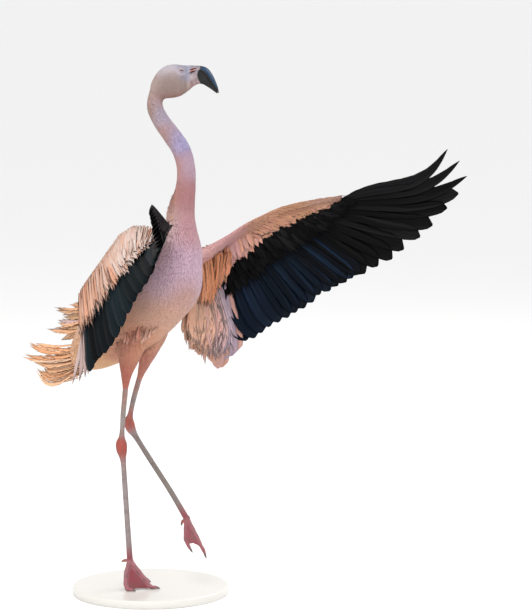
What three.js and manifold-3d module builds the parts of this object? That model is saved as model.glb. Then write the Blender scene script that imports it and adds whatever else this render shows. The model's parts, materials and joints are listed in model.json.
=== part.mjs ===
// A life-size Chilean flamingo, caught in mid-stride with both wings raised, on a plain round base.
//
// Millimetres, +Z up. The origin is the middle of the base's underside. The head looks along +X, and the
// trunk faces 45 degrees to the right of it, so the left wing spreads along +X and the right wing comes
// forward along -Y. Inside the group of the animal, z = 0 is the ground under its planted foot.

import * as THREE from "three";
import { mergeVertices } from "three/addons/utils/BufferGeometryUtils.js";
import Module from "manifold-3d";

const wasm = await Module();
wasm.setup();

// ---------------------------------------------------------------- driving dimensions

const GAP = 0.3; // clearance between pieces that touch
const VANE_THICKNESS = 0.8; // of a feather's vane
const WELD = 0.005; // corners closer than this are one
const BASE = { radius: 170, thickness: 18, bevel: 3, sides: 48 };
const ANIMAL_ON_BASE = [0, 40]; // where the animal's own zero stands, from the middle of the base
const HEAD_PLANE = -50; // y of the plane that halves the head
const BODY_LEFT = new THREE.Vector3(1, 1, 0).normalize(); // the trunk's own left
const FLESH_SIDES = 14;
const LEG_SIDES = 10;

// The trunk from rump to throat. Each station has its centre, its half width, its depth towards the back
// and towards the belly, and the heading of its front.
const TRUNK = [
  { at: [-172, 126, 462], half: 10, back: 9, belly: 10, heading: -45 },
  { at: [-151, 105, 487], half: 42, back: 36, belly: 44, heading: -45 },
  { at: [-113, 72, 525], half: 68, back: 60, belly: 70, heading: -45 },
  { at: [-55, 20, 587], half: 86, back: 86, belly: 94, heading: -45 },
  { at: [2, -35, 649], half: 88, back: 80, belly: 100, heading: -45 },
  { at: [45, -78, 701], half: 76, back: 60, belly: 90, heading: -45 },
  { at: [72, -98, 747], half: 48, back: 43, belly: 46, heading: -42 },
  { at: [78, -99, 783], half: 33, back: 47, belly: 29, heading: -38 },
  { at: [80, -97, 812], half: 26, back: 47, belly: 22, heading: -33 },
  { at: [83, -95, 843], half: 22, back: 40, belly: 20, heading: -27 },
  { at: [84, -92, 880], half: 21, back: 27, belly: 21, heading: -21 },
  { at: [82, -88, 918], half: 21, back: 22, belly: 22, heading: -15 },
  { at: [72, -80, 955], half: 21, back: 22, belly: 22, heading: -10 },
  { at: [51, -70, 987], half: 20, back: 22, belly: 21, heading: -6 },
  { at: [29, -60, 1018], half: 18, back: 21.5, belly: 19, heading: -3 },
  { at: [16, -53, 1046], half: 17, back: 20.5, belly: 18, heading: 0 },
  { at: [18, -50, 1070], half: 17, back: 19, belly: 17, heading: 0 },
  { at: [26, -50, 1088], half: 16, back: 20, belly: 15, heading: 0 },
];
const TRUNK_CUTS = { neckBase: 7.2, neckMiddle: 11.5, throat: 15.4, inSkull: 17 };

// The skull and cheeks, along x: the heights of throat and crown, and the half width.
const HEAD = [
  { x: 5, low: 1081, high: 1093, half: 6 },
  { x: 10, low: 1067, high: 1105, half: 15 },
  { x: 19, low: 1061, high: 1120, half: 21 },
  { x: 34, low: 1062, high: 1133.5, half: 25.5 },
  { x: 52, low: 1063.5, high: 1138.8, half: 27 },
  { x: 69, low: 1067, high: 1137.7, half: 24 },
  { x: 80, low: 1074, high: 1136.4, half: 18.5 },
  { x: 87.3, low: 1080.5, high: 1135.4, half: 15.5 },
];

// The bill in its middle plane, as x and z: the ridge of the upper half, the line of the mouth and the keel
// of the lower half, with the half width at the mouth.
const BILL = [
  { ridge: [87.6, 1135.2], mouth: [87.6, 1118], keel: [87.6, 1081], half: 15 },
  { ridge: [97.5, 1134.6], mouth: [97, 1122.3], keel: [98, 1090], half: 12.5 },
  { ridge: [114, 1133.8], mouth: [111, 1123.2], keel: [109, 1095], half: 11.5 },
  { ridge: [127.5, 1129], mouth: [121.5, 1116.5], keel: [117.5, 1094.3], half: 11.5 },
  { ridge: [138, 1116], mouth: [129, 1105.5], keel: [124.5, 1090.5], half: 10.5 },
  { ridge: [145.5, 1100], mouth: [137.3, 1094.4], keel: [132, 1086], half: 8.5 },
  { ridge: [150.5, 1086], mouth: [145.4, 1084.2], keel: [140.5, 1080], half: 6 },
  { ridge: [152.3, 1075.5], mouth: [150.6, 1075.7], keel: [147, 1075], half: 2.5 },
];
const MOUTH_HALF_GAP = 0.4;
const NOSTRIL = { at: [99, 1127], half: [7, 1, 1.3], slope: 12 }; // long slit beside the ridge
const EYE = { at: [71, 1124.2], radius: 6.4, outward: 14.6, lidRadius: 5.2, lidThickness: 1.3 };

// Each leg as one line from inside the trunk to the joint above the toes, with radii. The ankle is the
// knob that looks like a backward knee.
const LEGS = {
  right: [
    [-20, 0, 612, 28], [-32, -15, 575, 43], [-39, -32, 532, 38], [-45, -40, 498, 27],
    [-50, -45, 466, 16], [-51.5, -48, 442, 9.8],
    [-53, -50, 424, 6.6], [-57, -55, 380, 5.8], [-60, -60.5, 332, 6.5], [-61, -63, 317, 12],
    [-60, -63.5, 301, 11.5], [-57.5, -64, 282, 6.8], [-53.5, -64.5, 220, 6], [-48, -65.5, 130, 6],
    [-43.6, -66, 58, 6.6],
  ],
  left: [
    [-6, 24, 628, 30], [1, 16, 594, 47], [2, 14, 552, 43], [-4, 17, 516, 29], [-13, 20, 482, 17],
    [-21, 23, 458, 10.5],
    [-28, 25.5, 436, 6.8], [-38, 28.5, 400, 5.8], [-46, 31.5, 363, 6.5], [-48.5, 34, 349, 11],
    [-45, 33, 335, 11], [-35, 27, 319, 6.8], [-4, 0, 275, 6], [47, -43, 204, 6],
    [80.5, -74, 153, 6.6],
  ],
};
const LEG_CUTS = { knee: 6, ankleTop: 8, ankleFoot: 11 };

// The toes, each from the joint to the tip of its claw, with radii. The web spans the three front toes.
const FEET = {
  right: {
    knob: [-43.6, -66, 57.5, 8],
    inner: [
      [-41, -64, 55, 6], [-29, -60, 37, 4.4], [-16, -54, 21, 4], [-5, -49, 10, 3.6], [1, -46, 6, 1],
    ],
    middle: [
      [-41, -67, 55, 6], [-24, -74, 36, 4.8], [-8, -81, 17, 4.4], [3, -86, 4.4, 4.2],
      [13, -90, 4, 3.4], [23, -94, 2.4, 0.9],
    ],
    outer: [
      [-45, -68, 54, 6], [-51, -82, 35, 4.8], [-52, -97, 13, 4.4], [-48, -107, 4.4, 4.2],
      [-38, -114, 3.8, 3.2], [-29, -120, 2.2, 0.9],
    ],
    hind: [[-45.5, -64, 58.5, 4], [-56, -54, 56, 3.2], [-63, -47, 51, 1]],
    webTo: [0.66, 0.74, 0.62],
  },
  left: {
    knob: [80.5, -74, 153, 8],
    inner: [
      [80, -75, 150, 6], [79, -86, 131, 4.6], [79, -98, 112, 4.2], [86, -108, 98, 3.4],
      [94, -115, 86, 1],
    ],
    middle: [
      [82, -76, 150, 6], [93, -90, 130, 4.8], [106, -104, 109, 4.4], [118, -116, 91, 3.6],
      [124, -122, 74, 1],
    ],
    outer: [
      [82, -71, 150, 6], [93, -70, 130, 4.6], [103, -70, 111, 4.2], [110, -71, 97, 3.4],
      [115, -73, 88, 1],
    ],
    hind: [[79.5, -72, 151.5, 4], [71, -64, 144, 3.2], [68.5, -62, 135, 1]],
    webTo: [0.6, 0.62, 0.6],
  },
};

// Each wing's skin and bones: its leading edge and the line in which the flight feathers root, with the
// half thickness and the outward face of its back, from the shoulder (0) by the elbow (2) and the wrist (5)
// to the finger tip (7). The feather groups give the tips of their first to last feather. coverReach is the
// coverts' length as a share of the flight feather's, coversTo their last place, handWidth scales the
// primaries' width, handLead is the share of it before the shaft, sickle is their sideways bend, and shingle
// the degrees that each vane turns round its shaft, to lie on its neighbour. arm is a fuller line of flesh
// over the folded upper arm, with radii.
const WINGS = {
  left: {
    lead: [
      [80, -74, 720], [134, -12, 743], [172, 42, 761], [212, 90, 784], [252, 123, 801],
      [286, 138, 814], [360, 144, 831], [440, 150, 842],
    ],
    rear: [
      [62, -44, 676], [112, 40, 682], [141, 140, 680], [190, 150, 714], [243, 145, 752],
      [298, 142, 782], [368, 146, 803], [431, 150, 827],
    ],
    thick: [13, 11, 10, 9, 8.5, 8, 6, 3],
    face: [
      [-0.6, 0.55, 0.55], [-0.6, 0.6, 0.5], [-0.4, 0.85, 0.35], [-0.15, 1, 0.15], [0, 1, 0],
      [0, 1, 0], [0, 1, 0], [0, 1, 0],
    ],
    primaries: [
      [473, 148, 665], [503, 150, 680], [532, 152, 697], [561, 154, 717], [596, 156, 745],
      [623, 158, 771], [658, 160, 809], [681, 162, 841], [699, 163, 880], [686, 164, 915],
      [658, 165, 941],
    ],
    secondaries: [
      [209, 125, 514], [249, 128, 537], [295, 132, 564], [338, 136, 589], [381, 140, 621],
      [426, 144, 643], [462, 147, 663],
    ],
    tertials: [
      [80, 12, 532], [102, 25, 502], [122, 45, 492], [138, 65, 474], [152, 85, 460],
      [168, 100, 480], [188, 115, 494],
    ],
    coverReach: 0.34,
    coversTo: 6.5,
    handWidth: 1,
    handLead: 0.3,
    sickle: 0.14,
    shingle: { primaries: 6, secondaries: 7, tertials: 7 },
  },
  right: {
    lead: [
      [48, -80, 768], [-4, -86, 778], [-60, -88, 757], [-52, -106, 767], [-20, -132, 787],
      [37, -167, 786], [50, -196, 796], [60, -218, 812],
    ],
    rear: [
      [-18, -58, 655], [-104, -72, 646], [-142, -88, 632], [-107, -108, 690], [-61, -127, 734],
      [24, -166, 772], [38, -194, 789], [50, -218, 806],
    ],
    thick: [13, 11, 10, 9, 8.5, 8, 6, 3],
    face: [
      [-0.5, -0.4, 0.7], [-0.6, -0.5, 0.6], [-0.7, -0.6, 0.4], [-0.7, -0.6, 0.45],
      [-0.7, -0.45, 0.55], [-0.72, 0.05, 0.68], [-0.7, 0.15, 0.7], [-0.68, 0.2, 0.72],
    ],
    primaries: [
      [42, -352, 783], [40, -372, 791], [38, -395, 804], [35, -420, 819], [32, -446, 834],
      [30, -470, 848], [28, -487, 861], [24, -500, 876],
    ],
    secondaries: [
      [-123, -150, 488], [-104, -165, 514], [-82, -185, 540], [-60, -210, 574], [-35, -238, 626],
      [-10, -262, 667], [12, -290, 702], [26, -325, 743], [37, -355, 771],
    ],
    tertials: [
      [-168, 30, 470], [-174, 10, 440], [-163, -18, 445], [-152, -45, 452], [-143, -75, 460],
      [-132, -105, 472], [-128, -130, 480],
    ],
    coverReach: 0.46,
    coversTo: 5.3,
    handWidth: 0.7,
    handLead: 0.15,
    sickle: 0,
    shingle: { primaries: 6, secondaries: 8, tertials: 8 },
    arm: [
      [2, -70, 750, 34], [-46, -60, 724, 37], [-86, -62, 690, 33], [-116, -73, 648, 29],
      [-136, -82, 604, 18],
    ],
  },
};
const FLIGHT = {
  primaries: { count: 11, from: 5.05, to: 6.95, width: 44, tipWidth: 30 },
  secondaries: { count: 13, from: 2.1, to: 4.95, width: 36, tipWidth: 36, leadShare: 0.42 },
  tertials: { count: 8, from: 0.95, to: 1.95, width: 34, tipWidth: 34, leadShare: 0.45 },
};
const FINGERS = 3; // outer primaries that end narrow
const SHINGLE_TILT = 7; // degrees that coverts and tail feathers turn round their shafts

// Rows of coverts, from the wing's rear line forwards, on both faces: where across the wing they root (0 is
// the leading edge), their length and width, the places of the first and last, and how many.
const COVERTS = [
  { across: 0.86, length: 1, width: 34, from: 2.1, shortOfEnd: 0, count: 8 },
  { across: 0.42, length: 0.8, width: 34, from: 1.6, shortOfEnd: 1, count: 5 },
];
const COVER_LIFT = 0.8; // where a covert roots, as a share of the skin's half thickness
const COVER_RISE = 4; // how far its tip lifts off

// Half widths along a vane, as [share of its length, share of its width].
const OUTLINES = {
  finger: [[0, 0.4], [0.2, 0.8], [0.48, 1], [0.68, 0.85], [0.83, 0.62], [0.94, 0.36], [1, 0.06]],
  broad: [[0, 0.45], [0.25, 0.9], [0.85, 1], [0.96, 0.66], [1, 0.25]],
  covert: [[0, 0.45], [0.4, 1], [0.82, 0.85], [1, 0.2]],
  plume: [[0, 0.6], [0.3, 1], [0.62, 0.7], [0.86, 0.35], [1, 0.06]],
};

// ---------------------------------------------------------------- geometry helpers

const point = (coordinates) => new THREE.Vector3(...coordinates);
const curve = (rows) => new THREE.CatmullRomCurve3(rows.map((row) => point(row.slice(0, 3))));

// A number that runs smoothly through a list, at a place counted in list steps.
function along(list, place) {
  const low = Math.min(Math.floor(place), list.length - 2);
  return THREE.MathUtils.lerp(list[low], list[low + 1], place - low);
}

// A repeatable random number from -1 to 1.
let seed = 7;
function wobble() {
  seed = (seed * 16807) % 2147483647;
  return (seed / 2147483647) * 2 - 1;
}

function geometryOf(points, faces) {
  const geometry = new THREE.BufferGeometry().setFromPoints(points);
  geometry.setIndex(faces);
  return geometry;
}

// A closed surface through rings that have equally many points, with a fan over each end.
function skinRings(rings) {
  const sides = rings[0].length;
  const points = rings.flat();
  const faces = [];
  for (let ring = 0; ring + 1 < rings.length; ring++)
    for (let side = 0; side < sides; side++) {
      const here = ring * sides + side;
      const next = ring * sides + ((side + 1) % sides);
      faces.push(here, next, next + sides, here, next + sides, here + sides);
    }
  const last = (rings.length - 1) * sides;
  for (const ring of [rings[0], rings.at(-1)]) {
    const middle = new THREE.Vector3();
    for (const corner of ring) middle.addScaledVector(corner, 1 / sides);
    points.push(middle);
  }
  for (let side = 0; side < sides; side++) {
    const next = (side + 1) % sides;
    faces.push(points.length - 2, next, side);
    faces.push(points.length - 1, last + side, last + next);
  }
  return geometryOf(points, faces);
}

// A thin plate between two edges, with its two faces split into triangles alike.
function plate(lefts, rights, ups, thickness) {
  const points = [];
  const faces = [];
  lefts.forEach((left, row) => {
    const half = ups[row].clone().multiplyScalar(thickness / 2);
    const right = rights[row];
    points.push(left.clone().sub(half), right.clone().sub(half));
    points.push(right.clone().add(half), left.clone().add(half));
  });
  for (let row = 0; row + 1 < lefts.length; row++) {
    const [a, b, c, d] = [0, 1, 2, 3].map((corner) => row * 4 + corner);
    const [e, f, g, h] = [a + 4, b + 4, c + 4, d + 4];
    faces.push(a, f, b, a, e, f, d, c, g, d, g, h);
    faces.push(a, d, h, a, h, e, b, f, g, b, g, c);
  }
  const end = (lefts.length - 1) * 4;
  faces.push(0, 1, 2, 0, 2, 3, end, end + 2, end + 1, end, end + 3, end + 2);
  return geometryOf(points, faces);
}

// A three.js geometry as a solid, turned outwards if its faces point inwards.
function solid(geometry) {
  const bare = geometry.clone();
  bare.deleteAttribute("normal");
  bare.deleteAttribute("uv");
  const merged = mergeVertices(bare, 1e-4);
  const vertProperties = merged.attributes.position.array;
  const triVerts = new Uint32Array(merged.index.array);
  const made = new wasm.Manifold(new wasm.Mesh({ numProp: 3, vertProperties, triVerts }));
  if (made.volume() > 0) return made;
  triVerts.reverse();
  return new wasm.Manifold(new wasm.Mesh({ numProp: 3, vertProperties, triVerts }));
}

const join = (solids) => wasm.Manifold.union(solids);

// A node keeps its one largest closed surface.
function largest(made) {
  const bodies = made.decompose();
  return bodies.reduce((best, body) => (body.volume() > best.volume() ? body : best));
}

// Welds corners that lie a hair apart, and drops the faces that this closes.
function weld(geometry) {
  const welded = mergeVertices(geometry, WELD);
  const corners = welded.index.array;
  const kept = [];
  for (let i = 0; i < corners.length; i += 3) {
    const [a, b, c] = corners.subarray(i, i + 3);
    if (a !== b && b !== c && c !== a) kept.push(a, b, c);
  }
  welded.setIndex(kept);
  return welded;
}

function meshOf(name, made, material) {
  const { vertProperties, triVerts } = largest(made).getMesh();
  const geometry = new THREE.BufferGeometry();
  geometry.setAttribute("position", new THREE.BufferAttribute(vertProperties, 3));
  geometry.setIndex(new THREE.BufferAttribute(triVerts, 1));
  const mesh = new THREE.Mesh(weld(geometry), material);
  mesh.name = name;
  return mesh;
}

const paint = (color, roughness = 0.8, metalness = 0) =>
  new THREE.MeshStandardMaterial({ color, roughness, metalness });

const LOOKS = {
  pale: paint(0xdcc0bc),
  blush: paint(0xe0a48c),
  rose: paint(0xd58a7c),
  bareLeg: paint(0x9c8a86, 0.6),
  joint: paint(0xc4503f, 0.6),
  bill: paint(0x14191c, 0.35),
  eye: paint(0xb08a50, 0.1),
  flight: paint(0x14181e, 0.5),
  stand: paint(0xd9d6d0, 0.5),
};

// ---------------------------------------------------------------- trunk, neck and head

const trunkLine = curve(TRUNK.map((station) => station.at));
const trunkSize = curve(TRUNK.map(({ half, back, belly }) => [half, back, belly]));
const trunkHeadings = TRUNK.map((station) => station.heading);

// One cross section of the trunk at a place counted in stations, moved along it and grown if asked.
function trunkRing(place, shift = 0, grow = 0) {
  const share = place / (TRUNK.length - 1);
  const centre = trunkLine.getPoint(share);
  const forward = trunkLine.getTangent(share);
  const size = trunkSize.getPoint(share);
  const heading = THREE.MathUtils.degToRad(along(trunkHeadings, place));
  const left = new THREE.Vector3(-Math.sin(heading), Math.cos(heading), 0);
  left.addScaledVector(forward, -left.dot(forward)).normalize();
  const back = new THREE.Vector3().crossVectors(forward, left);
  centre.addScaledVector(forward, shift);
  return Array.from({ length: FLESH_SIDES }, (_, side) => {
    const angle = (2 * Math.PI * side) / FLESH_SIDES;
    const depth = Math.sin(angle) > 0 ? size.y : size.z;
    return centre
      .clone()
      .addScaledVector(left, Math.cos(angle) * (size.x + grow))
      .addScaledVector(back, Math.sin(angle) * (depth + grow));
  });
}

// A length of the trunk between two places. A cut end stays half a gap short of the cut.
function trunkPart(from, to, rings, { openStart = true, openEnd = true, grow = 0 } = {}) {
  const places = Array.from({ length: rings }, (_, i) => from + ((to - from) * i) / (rings - 1));
  const shifts = places.map(() => 0);
  if (openStart) shifts[0] = GAP / 2;
  if (openEnd) shifts[rings - 1] = -GAP / 2;
  return solid(skinRings(places.map((place, i) => trunkRing(place, shifts[i], grow))));
}

function skull() {
  const rings = HEAD.map(({ x, low, high, half }) =>
    Array.from({ length: FLESH_SIDES }, (_, side) => {
      const angle = (2 * Math.PI * side) / FLESH_SIDES;
      const height = (high + low) / 2 + (Math.sin(angle) * (high - low)) / 2;
      return point([x, HEAD_PLANE + Math.cos(angle) * half, height]);
    }),
  );
  return solid(skinRings(rings));
}

// An eyeball, or its socket when grown, on the side that the sign says.
function eyeball(sign, grow = 0) {
  const ball = new THREE.SphereGeometry(EYE.radius + grow, 12, 8);
  ball.translate(EYE.at[0], HEAD_PLANE + sign * EYE.outward, EYE.at[1]);
  return solid(ball);
}

// The ring of lids round an eye, tipped up as the cheek is there.
function lids(sign) {
  const ring = new THREE.TorusGeometry(EYE.lidRadius, EYE.lidThickness, 5, 12);
  ring.rotateX(Math.PI / 2 + sign * THREE.MathUtils.degToRad(-22));
  ring.translate(EYE.at[0], HEAD_PLANE + sign * (EYE.outward + 4.4), EYE.at[1] + 1.4);
  return solid(ring);
}

function head() {
  const flesh = join([
    skull(),
    trunkPart(TRUNK_CUTS.throat, TRUNK_CUTS.inSkull, 4, { openEnd: false }),
    lids(1),
    lids(-1),
  ]);
  return flesh.subtract(eyeball(1, GAP)).subtract(eyeball(-1, GAP));
}

// Half of the bill: an arch of skin over the plane of the mouth, up to the ridge or down to the keel.
function billHalf(edge) {
  const arch = 8;
  const rings = BILL.map(({ mouth, half, [edge]: rim }) => {
    const middle = point([mouth[0], HEAD_PLANE, mouth[1]]);
    const rise = point([rim[0], HEAD_PLANE, rim[1]]).sub(middle);
    middle.addScaledVector(rise.clone().normalize(), MOUTH_HALF_GAP);
    rise.setLength(Math.max(rise.length() - MOUTH_HALF_GAP, 0.6));
    return Array.from({ length: arch }, (_, i) => {
      const angle = (Math.PI * i) / (arch - 1);
      return middle
        .clone()
        .addScaledVector(rise, Math.sin(angle))
        .add(point([0, Math.cos(angle) * half, 0]));
    });
  });
  return solid(skinRings(rings));
}

function nostril(sign) {
  const slit = new THREE.SphereGeometry(1, 10, 6);
  slit.scale(NOSTRIL.half[0], 3.5, NOSTRIL.half[2]);
  slit.rotateY(THREE.MathUtils.degToRad(-NOSTRIL.slope));
  slit.translate(NOSTRIL.at[0], HEAD_PLANE + sign * 12.5, NOSTRIL.at[1]);
  return solid(slit);
}

// ---------------------------------------------------------------- legs and feet

// A round limb along a line of centres with radii, between two places on it. Its cut ends are flat and
// stay half a gap short.
function limb(rows, { from = 0, to = rows.length - 1, steps = 2, sides = LEG_SIDES, cuts = [] } = {}) {
  const line = curve(rows);
  const radii = rows.map((row) => row[3]);
  const count = (to - from) * steps + 1;
  const rings = Array.from({ length: count }, (_, i) => {
    const place = from + i / steps;
    const share = place / (rows.length - 1);
    const centre = line.getPoint(share);
    const forward = line.getTangent(share);
    const aside = BODY_LEFT.clone().addScaledVector(forward, -BODY_LEFT.dot(forward)).normalize();
    const up = new THREE.Vector3().crossVectors(forward, aside);
    const radius = along(radii, place);
    if (cuts[0] && i === 0) centre.addScaledVector(forward, GAP / 2);
    if (cuts[1] && i === count - 1) centre.addScaledVector(forward, -GAP / 2);
    return Array.from({ length: sides }, (_, side) => {
      const angle = (2 * Math.PI * side) / sides;
      return centre
        .clone()
        .addScaledVector(aside, radius * Math.cos(angle))
        .addScaledVector(up, radius * Math.sin(angle));
    });
  });
  return solid(skinRings(rings));
}

// The round joint above the toes, or its clearance when grown.
function ball([x, y, z, radius], grow = 0) {
  const sphere = new THREE.SphereGeometry(radius + grow, 12, 8);
  sphere.translate(x, y, z);
  return solid(sphere);
}

// The web between two toes, from near the joint to the share of each toe that it reaches.
function web(toeA, toeB, reachA, reachB) {
  const lines = [curve(toeA), curve(toeB)];
  const rows = [0.06, 0.35, 0.65, 1];
  const lefts = rows.map((row) => lines[0].getPoint(row * reachA));
  const rights = rows.map((row) => lines[1].getPoint(row * reachB));
  const ups = lefts.map((left, row) => {
    const across = rights[row].clone().sub(left);
    const forward = lines[0].getTangent(rows[row] * reachA);
    return across.cross(forward).normalize();
  });
  return solid(plate(lefts, rights, ups, 1.6));
}

function foot({ knob, inner, middle, outer, hind, webTo }) {
  const toes = [inner, middle, outer, hind].map((toe) => limb(toe, { steps: 1, sides: 8 }));
  const webs = [
    web(inner, middle, webTo[0], webTo[1]),
    web(middle, outer, webTo[1], webTo[2]),
  ];
  return join([ball(knob), ...toes, ...webs]);
}

// A block that clears what lies under the ground, so the toes get flats at one level.
function underground() {
  const block = new THREE.BoxGeometry(600, 600, 60);
  block.translate(0, 0, -30);
  return solid(block);
}

// ---------------------------------------------------------------- feathers

// One vane: a thin plate along a bowed shaft, turned a little round it.
function vane({ root, tip, face, width, outline, bow = 0, sweep = 0, tilt = 0, leadShare = 0.5 }) {
  const line = tip.clone().sub(root);
  const length = line.length();
  const flat = new THREE.Vector3().crossVectors(face, line).normalize();
  const up = new THREE.Vector3().crossVectors(line, flat).normalize();
  const turn = THREE.MathUtils.degToRad(tilt);
  const across = flat.clone().multiplyScalar(Math.cos(turn)).addScaledVector(up, Math.sin(turn));
  const normal = up.clone().multiplyScalar(Math.cos(turn)).addScaledVector(flat, -Math.sin(turn));
  const lefts = [];
  const rights = [];
  for (const [share, breadth] of outline) {
    const shaft = root.clone().addScaledVector(line, share);
    shaft.addScaledVector(up, bow * length * Math.sin(Math.PI * share));
    shaft.addScaledVector(flat, sweep * length * Math.sin(Math.PI * share ** 1.6));
    lefts.push(shaft.clone().addScaledVector(across, -breadth * width * (1 - leadShare)));
    rights.push(shaft.clone().addScaledVector(across, breadth * width * leadShare));
  }
  return solid(plate(lefts, rights, lefts.map(() => normal), VANE_THICKNESS));
}

// A wing's own frame: points and facing at a place along it (0 shoulder to 7 finger tip).
function wingFrame(wing) {
  const lead = curve(wing.lead);
  const rear = curve(wing.rear);
  const faces = curve(wing.face);
  const share = (place) => place / (wing.lead.length - 1);
  return {
    lead: (place) => lead.getPoint(share(place)),
    rear: (place) => rear.getPoint(share(place)),
    face: (place) => faces.getPoint(share(place)).normalize(),
    thick: (place) => along(wing.thick, place),
  };
}

// Skin over the bones, thick at the leading edge and thin where the flight feathers root.
function wingFlesh(frame, from) {
  const section = [[0, 0.25], [0.16, 1], [0.5, 0.85], [0.86, 0.6], [1, 0.4]];
  const places = [0, 0.6, 1.2, 2, 2.8, 3.6, 4.4, 5, 5.7, 6.4, 7].filter((place) => place >= from);
  const rings = places.map((place) => {
    const lead = frame.lead(place);
    const chord = frame.rear(place).sub(lead);
    const face = frame.face(place);
    const half = frame.thick(place);
    const at = ([across, height], side) =>
      lead.clone().addScaledVector(chord, across).addScaledVector(face, side * height * half);
    return [...section.map((row) => at(row, 1)), ...section.toReversed().map((row) => at(row, -1))];
  });
  return solid(skinRings(rings));
}

function flightFeathers(wing, frame, side) {
  const made = [];
  for (const [group, { count, from, to, width, tipWidth, leadShare }] of Object.entries(FLIGHT)) {
    const tips = curve(wing[group]);
    for (let i = 0; i < count; i++) {
      const share = i / (count - 1);
      const onHand = group === "primaries";
      const isFinger = onHand && i >= count - FINGERS;
      const place = THREE.MathUtils.lerp(from, to, share);
      const root = frame.rear(place).lerp(frame.lead(place), 0.12);
      const tip = tips.getPoint(share);
      tip.addScaledVector(tip.clone().sub(root).normalize(), 2 + 3 * wobble());
      made.push(vane({
        root, tip, face: frame.face(place), outline: isFinger ? OUTLINES.finger : OUTLINES.broad,
        width: THREE.MathUtils.lerp(width, tipWidth, share) * (1 + 0.05 * wobble()) *
          (onHand ? wing.handWidth : 1),
        bow: 0.02, sweep: onHand ? side * wing.sickle * share * share : 0,
        tilt: -side * wing.shingle[group],
        leadShare: onHand ? wing.handLead : side > 0 ? leadShare : 1 - leadShare,
      }));
    }
  }
  return made;
}

// The direction and length of the flight feather that roots at a place.
function flightLine(wing, frame, place) {
  const { primaries, secondaries, tertials } = FLIGHT;
  const [group, rows] =
    place > secondaries.to ? [primaries, wing.primaries]
    : place > tertials.to ? [secondaries, wing.secondaries]
    : [tertials, wing.tertials];
  const share = THREE.MathUtils.clamp((place - group.from) / (group.to - group.from), 0, 1);
  return curve(rows).getPoint(share).sub(frame.rear(place));
}

function coverts(wing, frame, side) {
  const made = [];
  for (const row of COVERTS)
    for (const skin of [1, -1])
      for (let i = 0; i < row.count; i++) {
        const place = THREE.MathUtils.lerp(row.from, wing.coversTo - row.shortOfEnd, i / (row.count - 1));
        const face = frame.face(place).multiplyScalar(skin);
        const lift = frame.thick(place) * COVER_LIFT;
        const root = frame.lead(place).lerp(frame.rear(place), row.across).addScaledVector(face, lift);
        const flight = flightLine(wing, frame, place);
        const chord = frame.rear(place).sub(frame.lead(place));
        const length = row.length * wing.coverReach * flight.length() * (1 + 0.06 * wobble());
        const lie = flight.normalize().lerp(chord.normalize(), 0.35 * (1 - row.across)).normalize();
        root.addScaledVector(lie, -6);
        const tip = root.clone().addScaledVector(lie, length + 6).addScaledVector(face, COVER_RISE);
        made.push(vane({
          root, tip, face, width: row.width * (1 + 0.06 * wobble()), outline: OUTLINES.covert,
          bow: 0.03, tilt: -side * skin * SHINGLE_TILT,
        }));
      }
  return made;
}

function wing(shape, side) {
  const frame = wingFrame(shape);
  return join([
    wingFlesh(frame, shape.arm ? 2 : 0),
    ...(shape.arm ? [limb(shape.arm, { sides: 12 })] : []),
    ...flightFeathers(shape, frame, side),
    ...coverts(shape, frame, side),
  ]);
}

// The tail: a short rump that carries a fan of feathers, each a curved plume.
const TAIL = {
  rump: [[-150, 106, 484, 34], [-166, 121, 470, 27], [-180, 134, 461, 15]],
  roots: [[-170, 124, 484], [-178, 133, 470], [-172, 128, 454]],
  tips: [
    [-262, 188, 498], [-284, 212, 488], [-303, 226, 464], [-290, 216, 447], [-274, 206, 434],
    [-244, 190, 414], [-216, 174, 404],
  ],
  face: [[-0.3, 0.3, 0.9], [-0.8, -0.4, 0.4], [-0.5, -0.7, -0.2]],
  count: 12,
  width: 24,
};

function tail() {
  const roots = curve(TAIL.roots);
  const tips = curve(TAIL.tips);
  const faces = curve(TAIL.face);
  const made = [limb(TAIL.rump, { sides: 12 })];
  for (let i = 0; i < TAIL.count; i++) {
    const share = i / (TAIL.count - 1);
    const root = roots.getPoint(share);
    const tip = tips.getPoint(share);
    tip.addScaledVector(tip.clone().sub(root).normalize(), 8 * wobble());
    made.push(vane({
      root, tip, face: faces.getPoint(share).normalize(), width: TAIL.width,
      outline: OUTLINES.plume, bow: 0.06, tilt: SHINGLE_TILT,
    }));
  }
  return join(made);
}

// Long loose plumes that lift off the lower back.
const PLUMES = {
  roots: [[-88, 72, 628], [-118, 92, 596], [-140, 108, 556], [-150, 116, 524]],
  tips: [
    [-218, 150, 576], [-214, 142, 566], [-208, 132, 560], [-236, 160, 540], [-222, 158, 524],
    [-204, 150, 512],
  ],
  count: 9,
  width: 24,
};

function plumes() {
  const roots = curve(PLUMES.roots);
  const tips = curve(PLUMES.tips);
  return Array.from({ length: PLUMES.count }, (_, i) => {
    const share = i / (PLUMES.count - 1);
    const root = roots.getPoint(share);
    const tip = tips.getPoint(share);
    tip.addScaledVector(tip.clone().sub(root).normalize(), 9 * wobble());
    const face = point([-0.4, -0.8 + 0.15 * wobble(), 0.4]);
    return vane({ root, tip, face, width: PLUMES.width, outline: OUTLINES.plume, bow: 0.06 });
  });
}

// ---------------------------------------------------------------- base

function base() {
  const { radius, thickness, bevel, sides } = BASE;
  const profile = [
    [0, 0], [radius - 1, 0], [radius, 1], [radius, thickness - bevel], [radius - bevel, thickness],
    [0, thickness],
  ].map(([x, y]) => new THREE.Vector2(x, y));
  const disc = new THREE.LatheGeometry(profile, sides);
  disc.rotateX(Math.PI / 2);
  return solid(disc);
}

// ---------------------------------------------------------------- assembly

const torsoEnd = TRUNK_CUTS.neckBase;
const torsoCore = (grow) => trunkPart(0, torsoEnd, 15, { openStart: false, grow });
const neckLower = (grow) => trunkPart(torsoEnd, TRUNK_CUTS.neckMiddle, 9, { grow });
const bodyClearance = join([torsoCore(GAP), neckLower(GAP), join(plumes())]);

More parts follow.
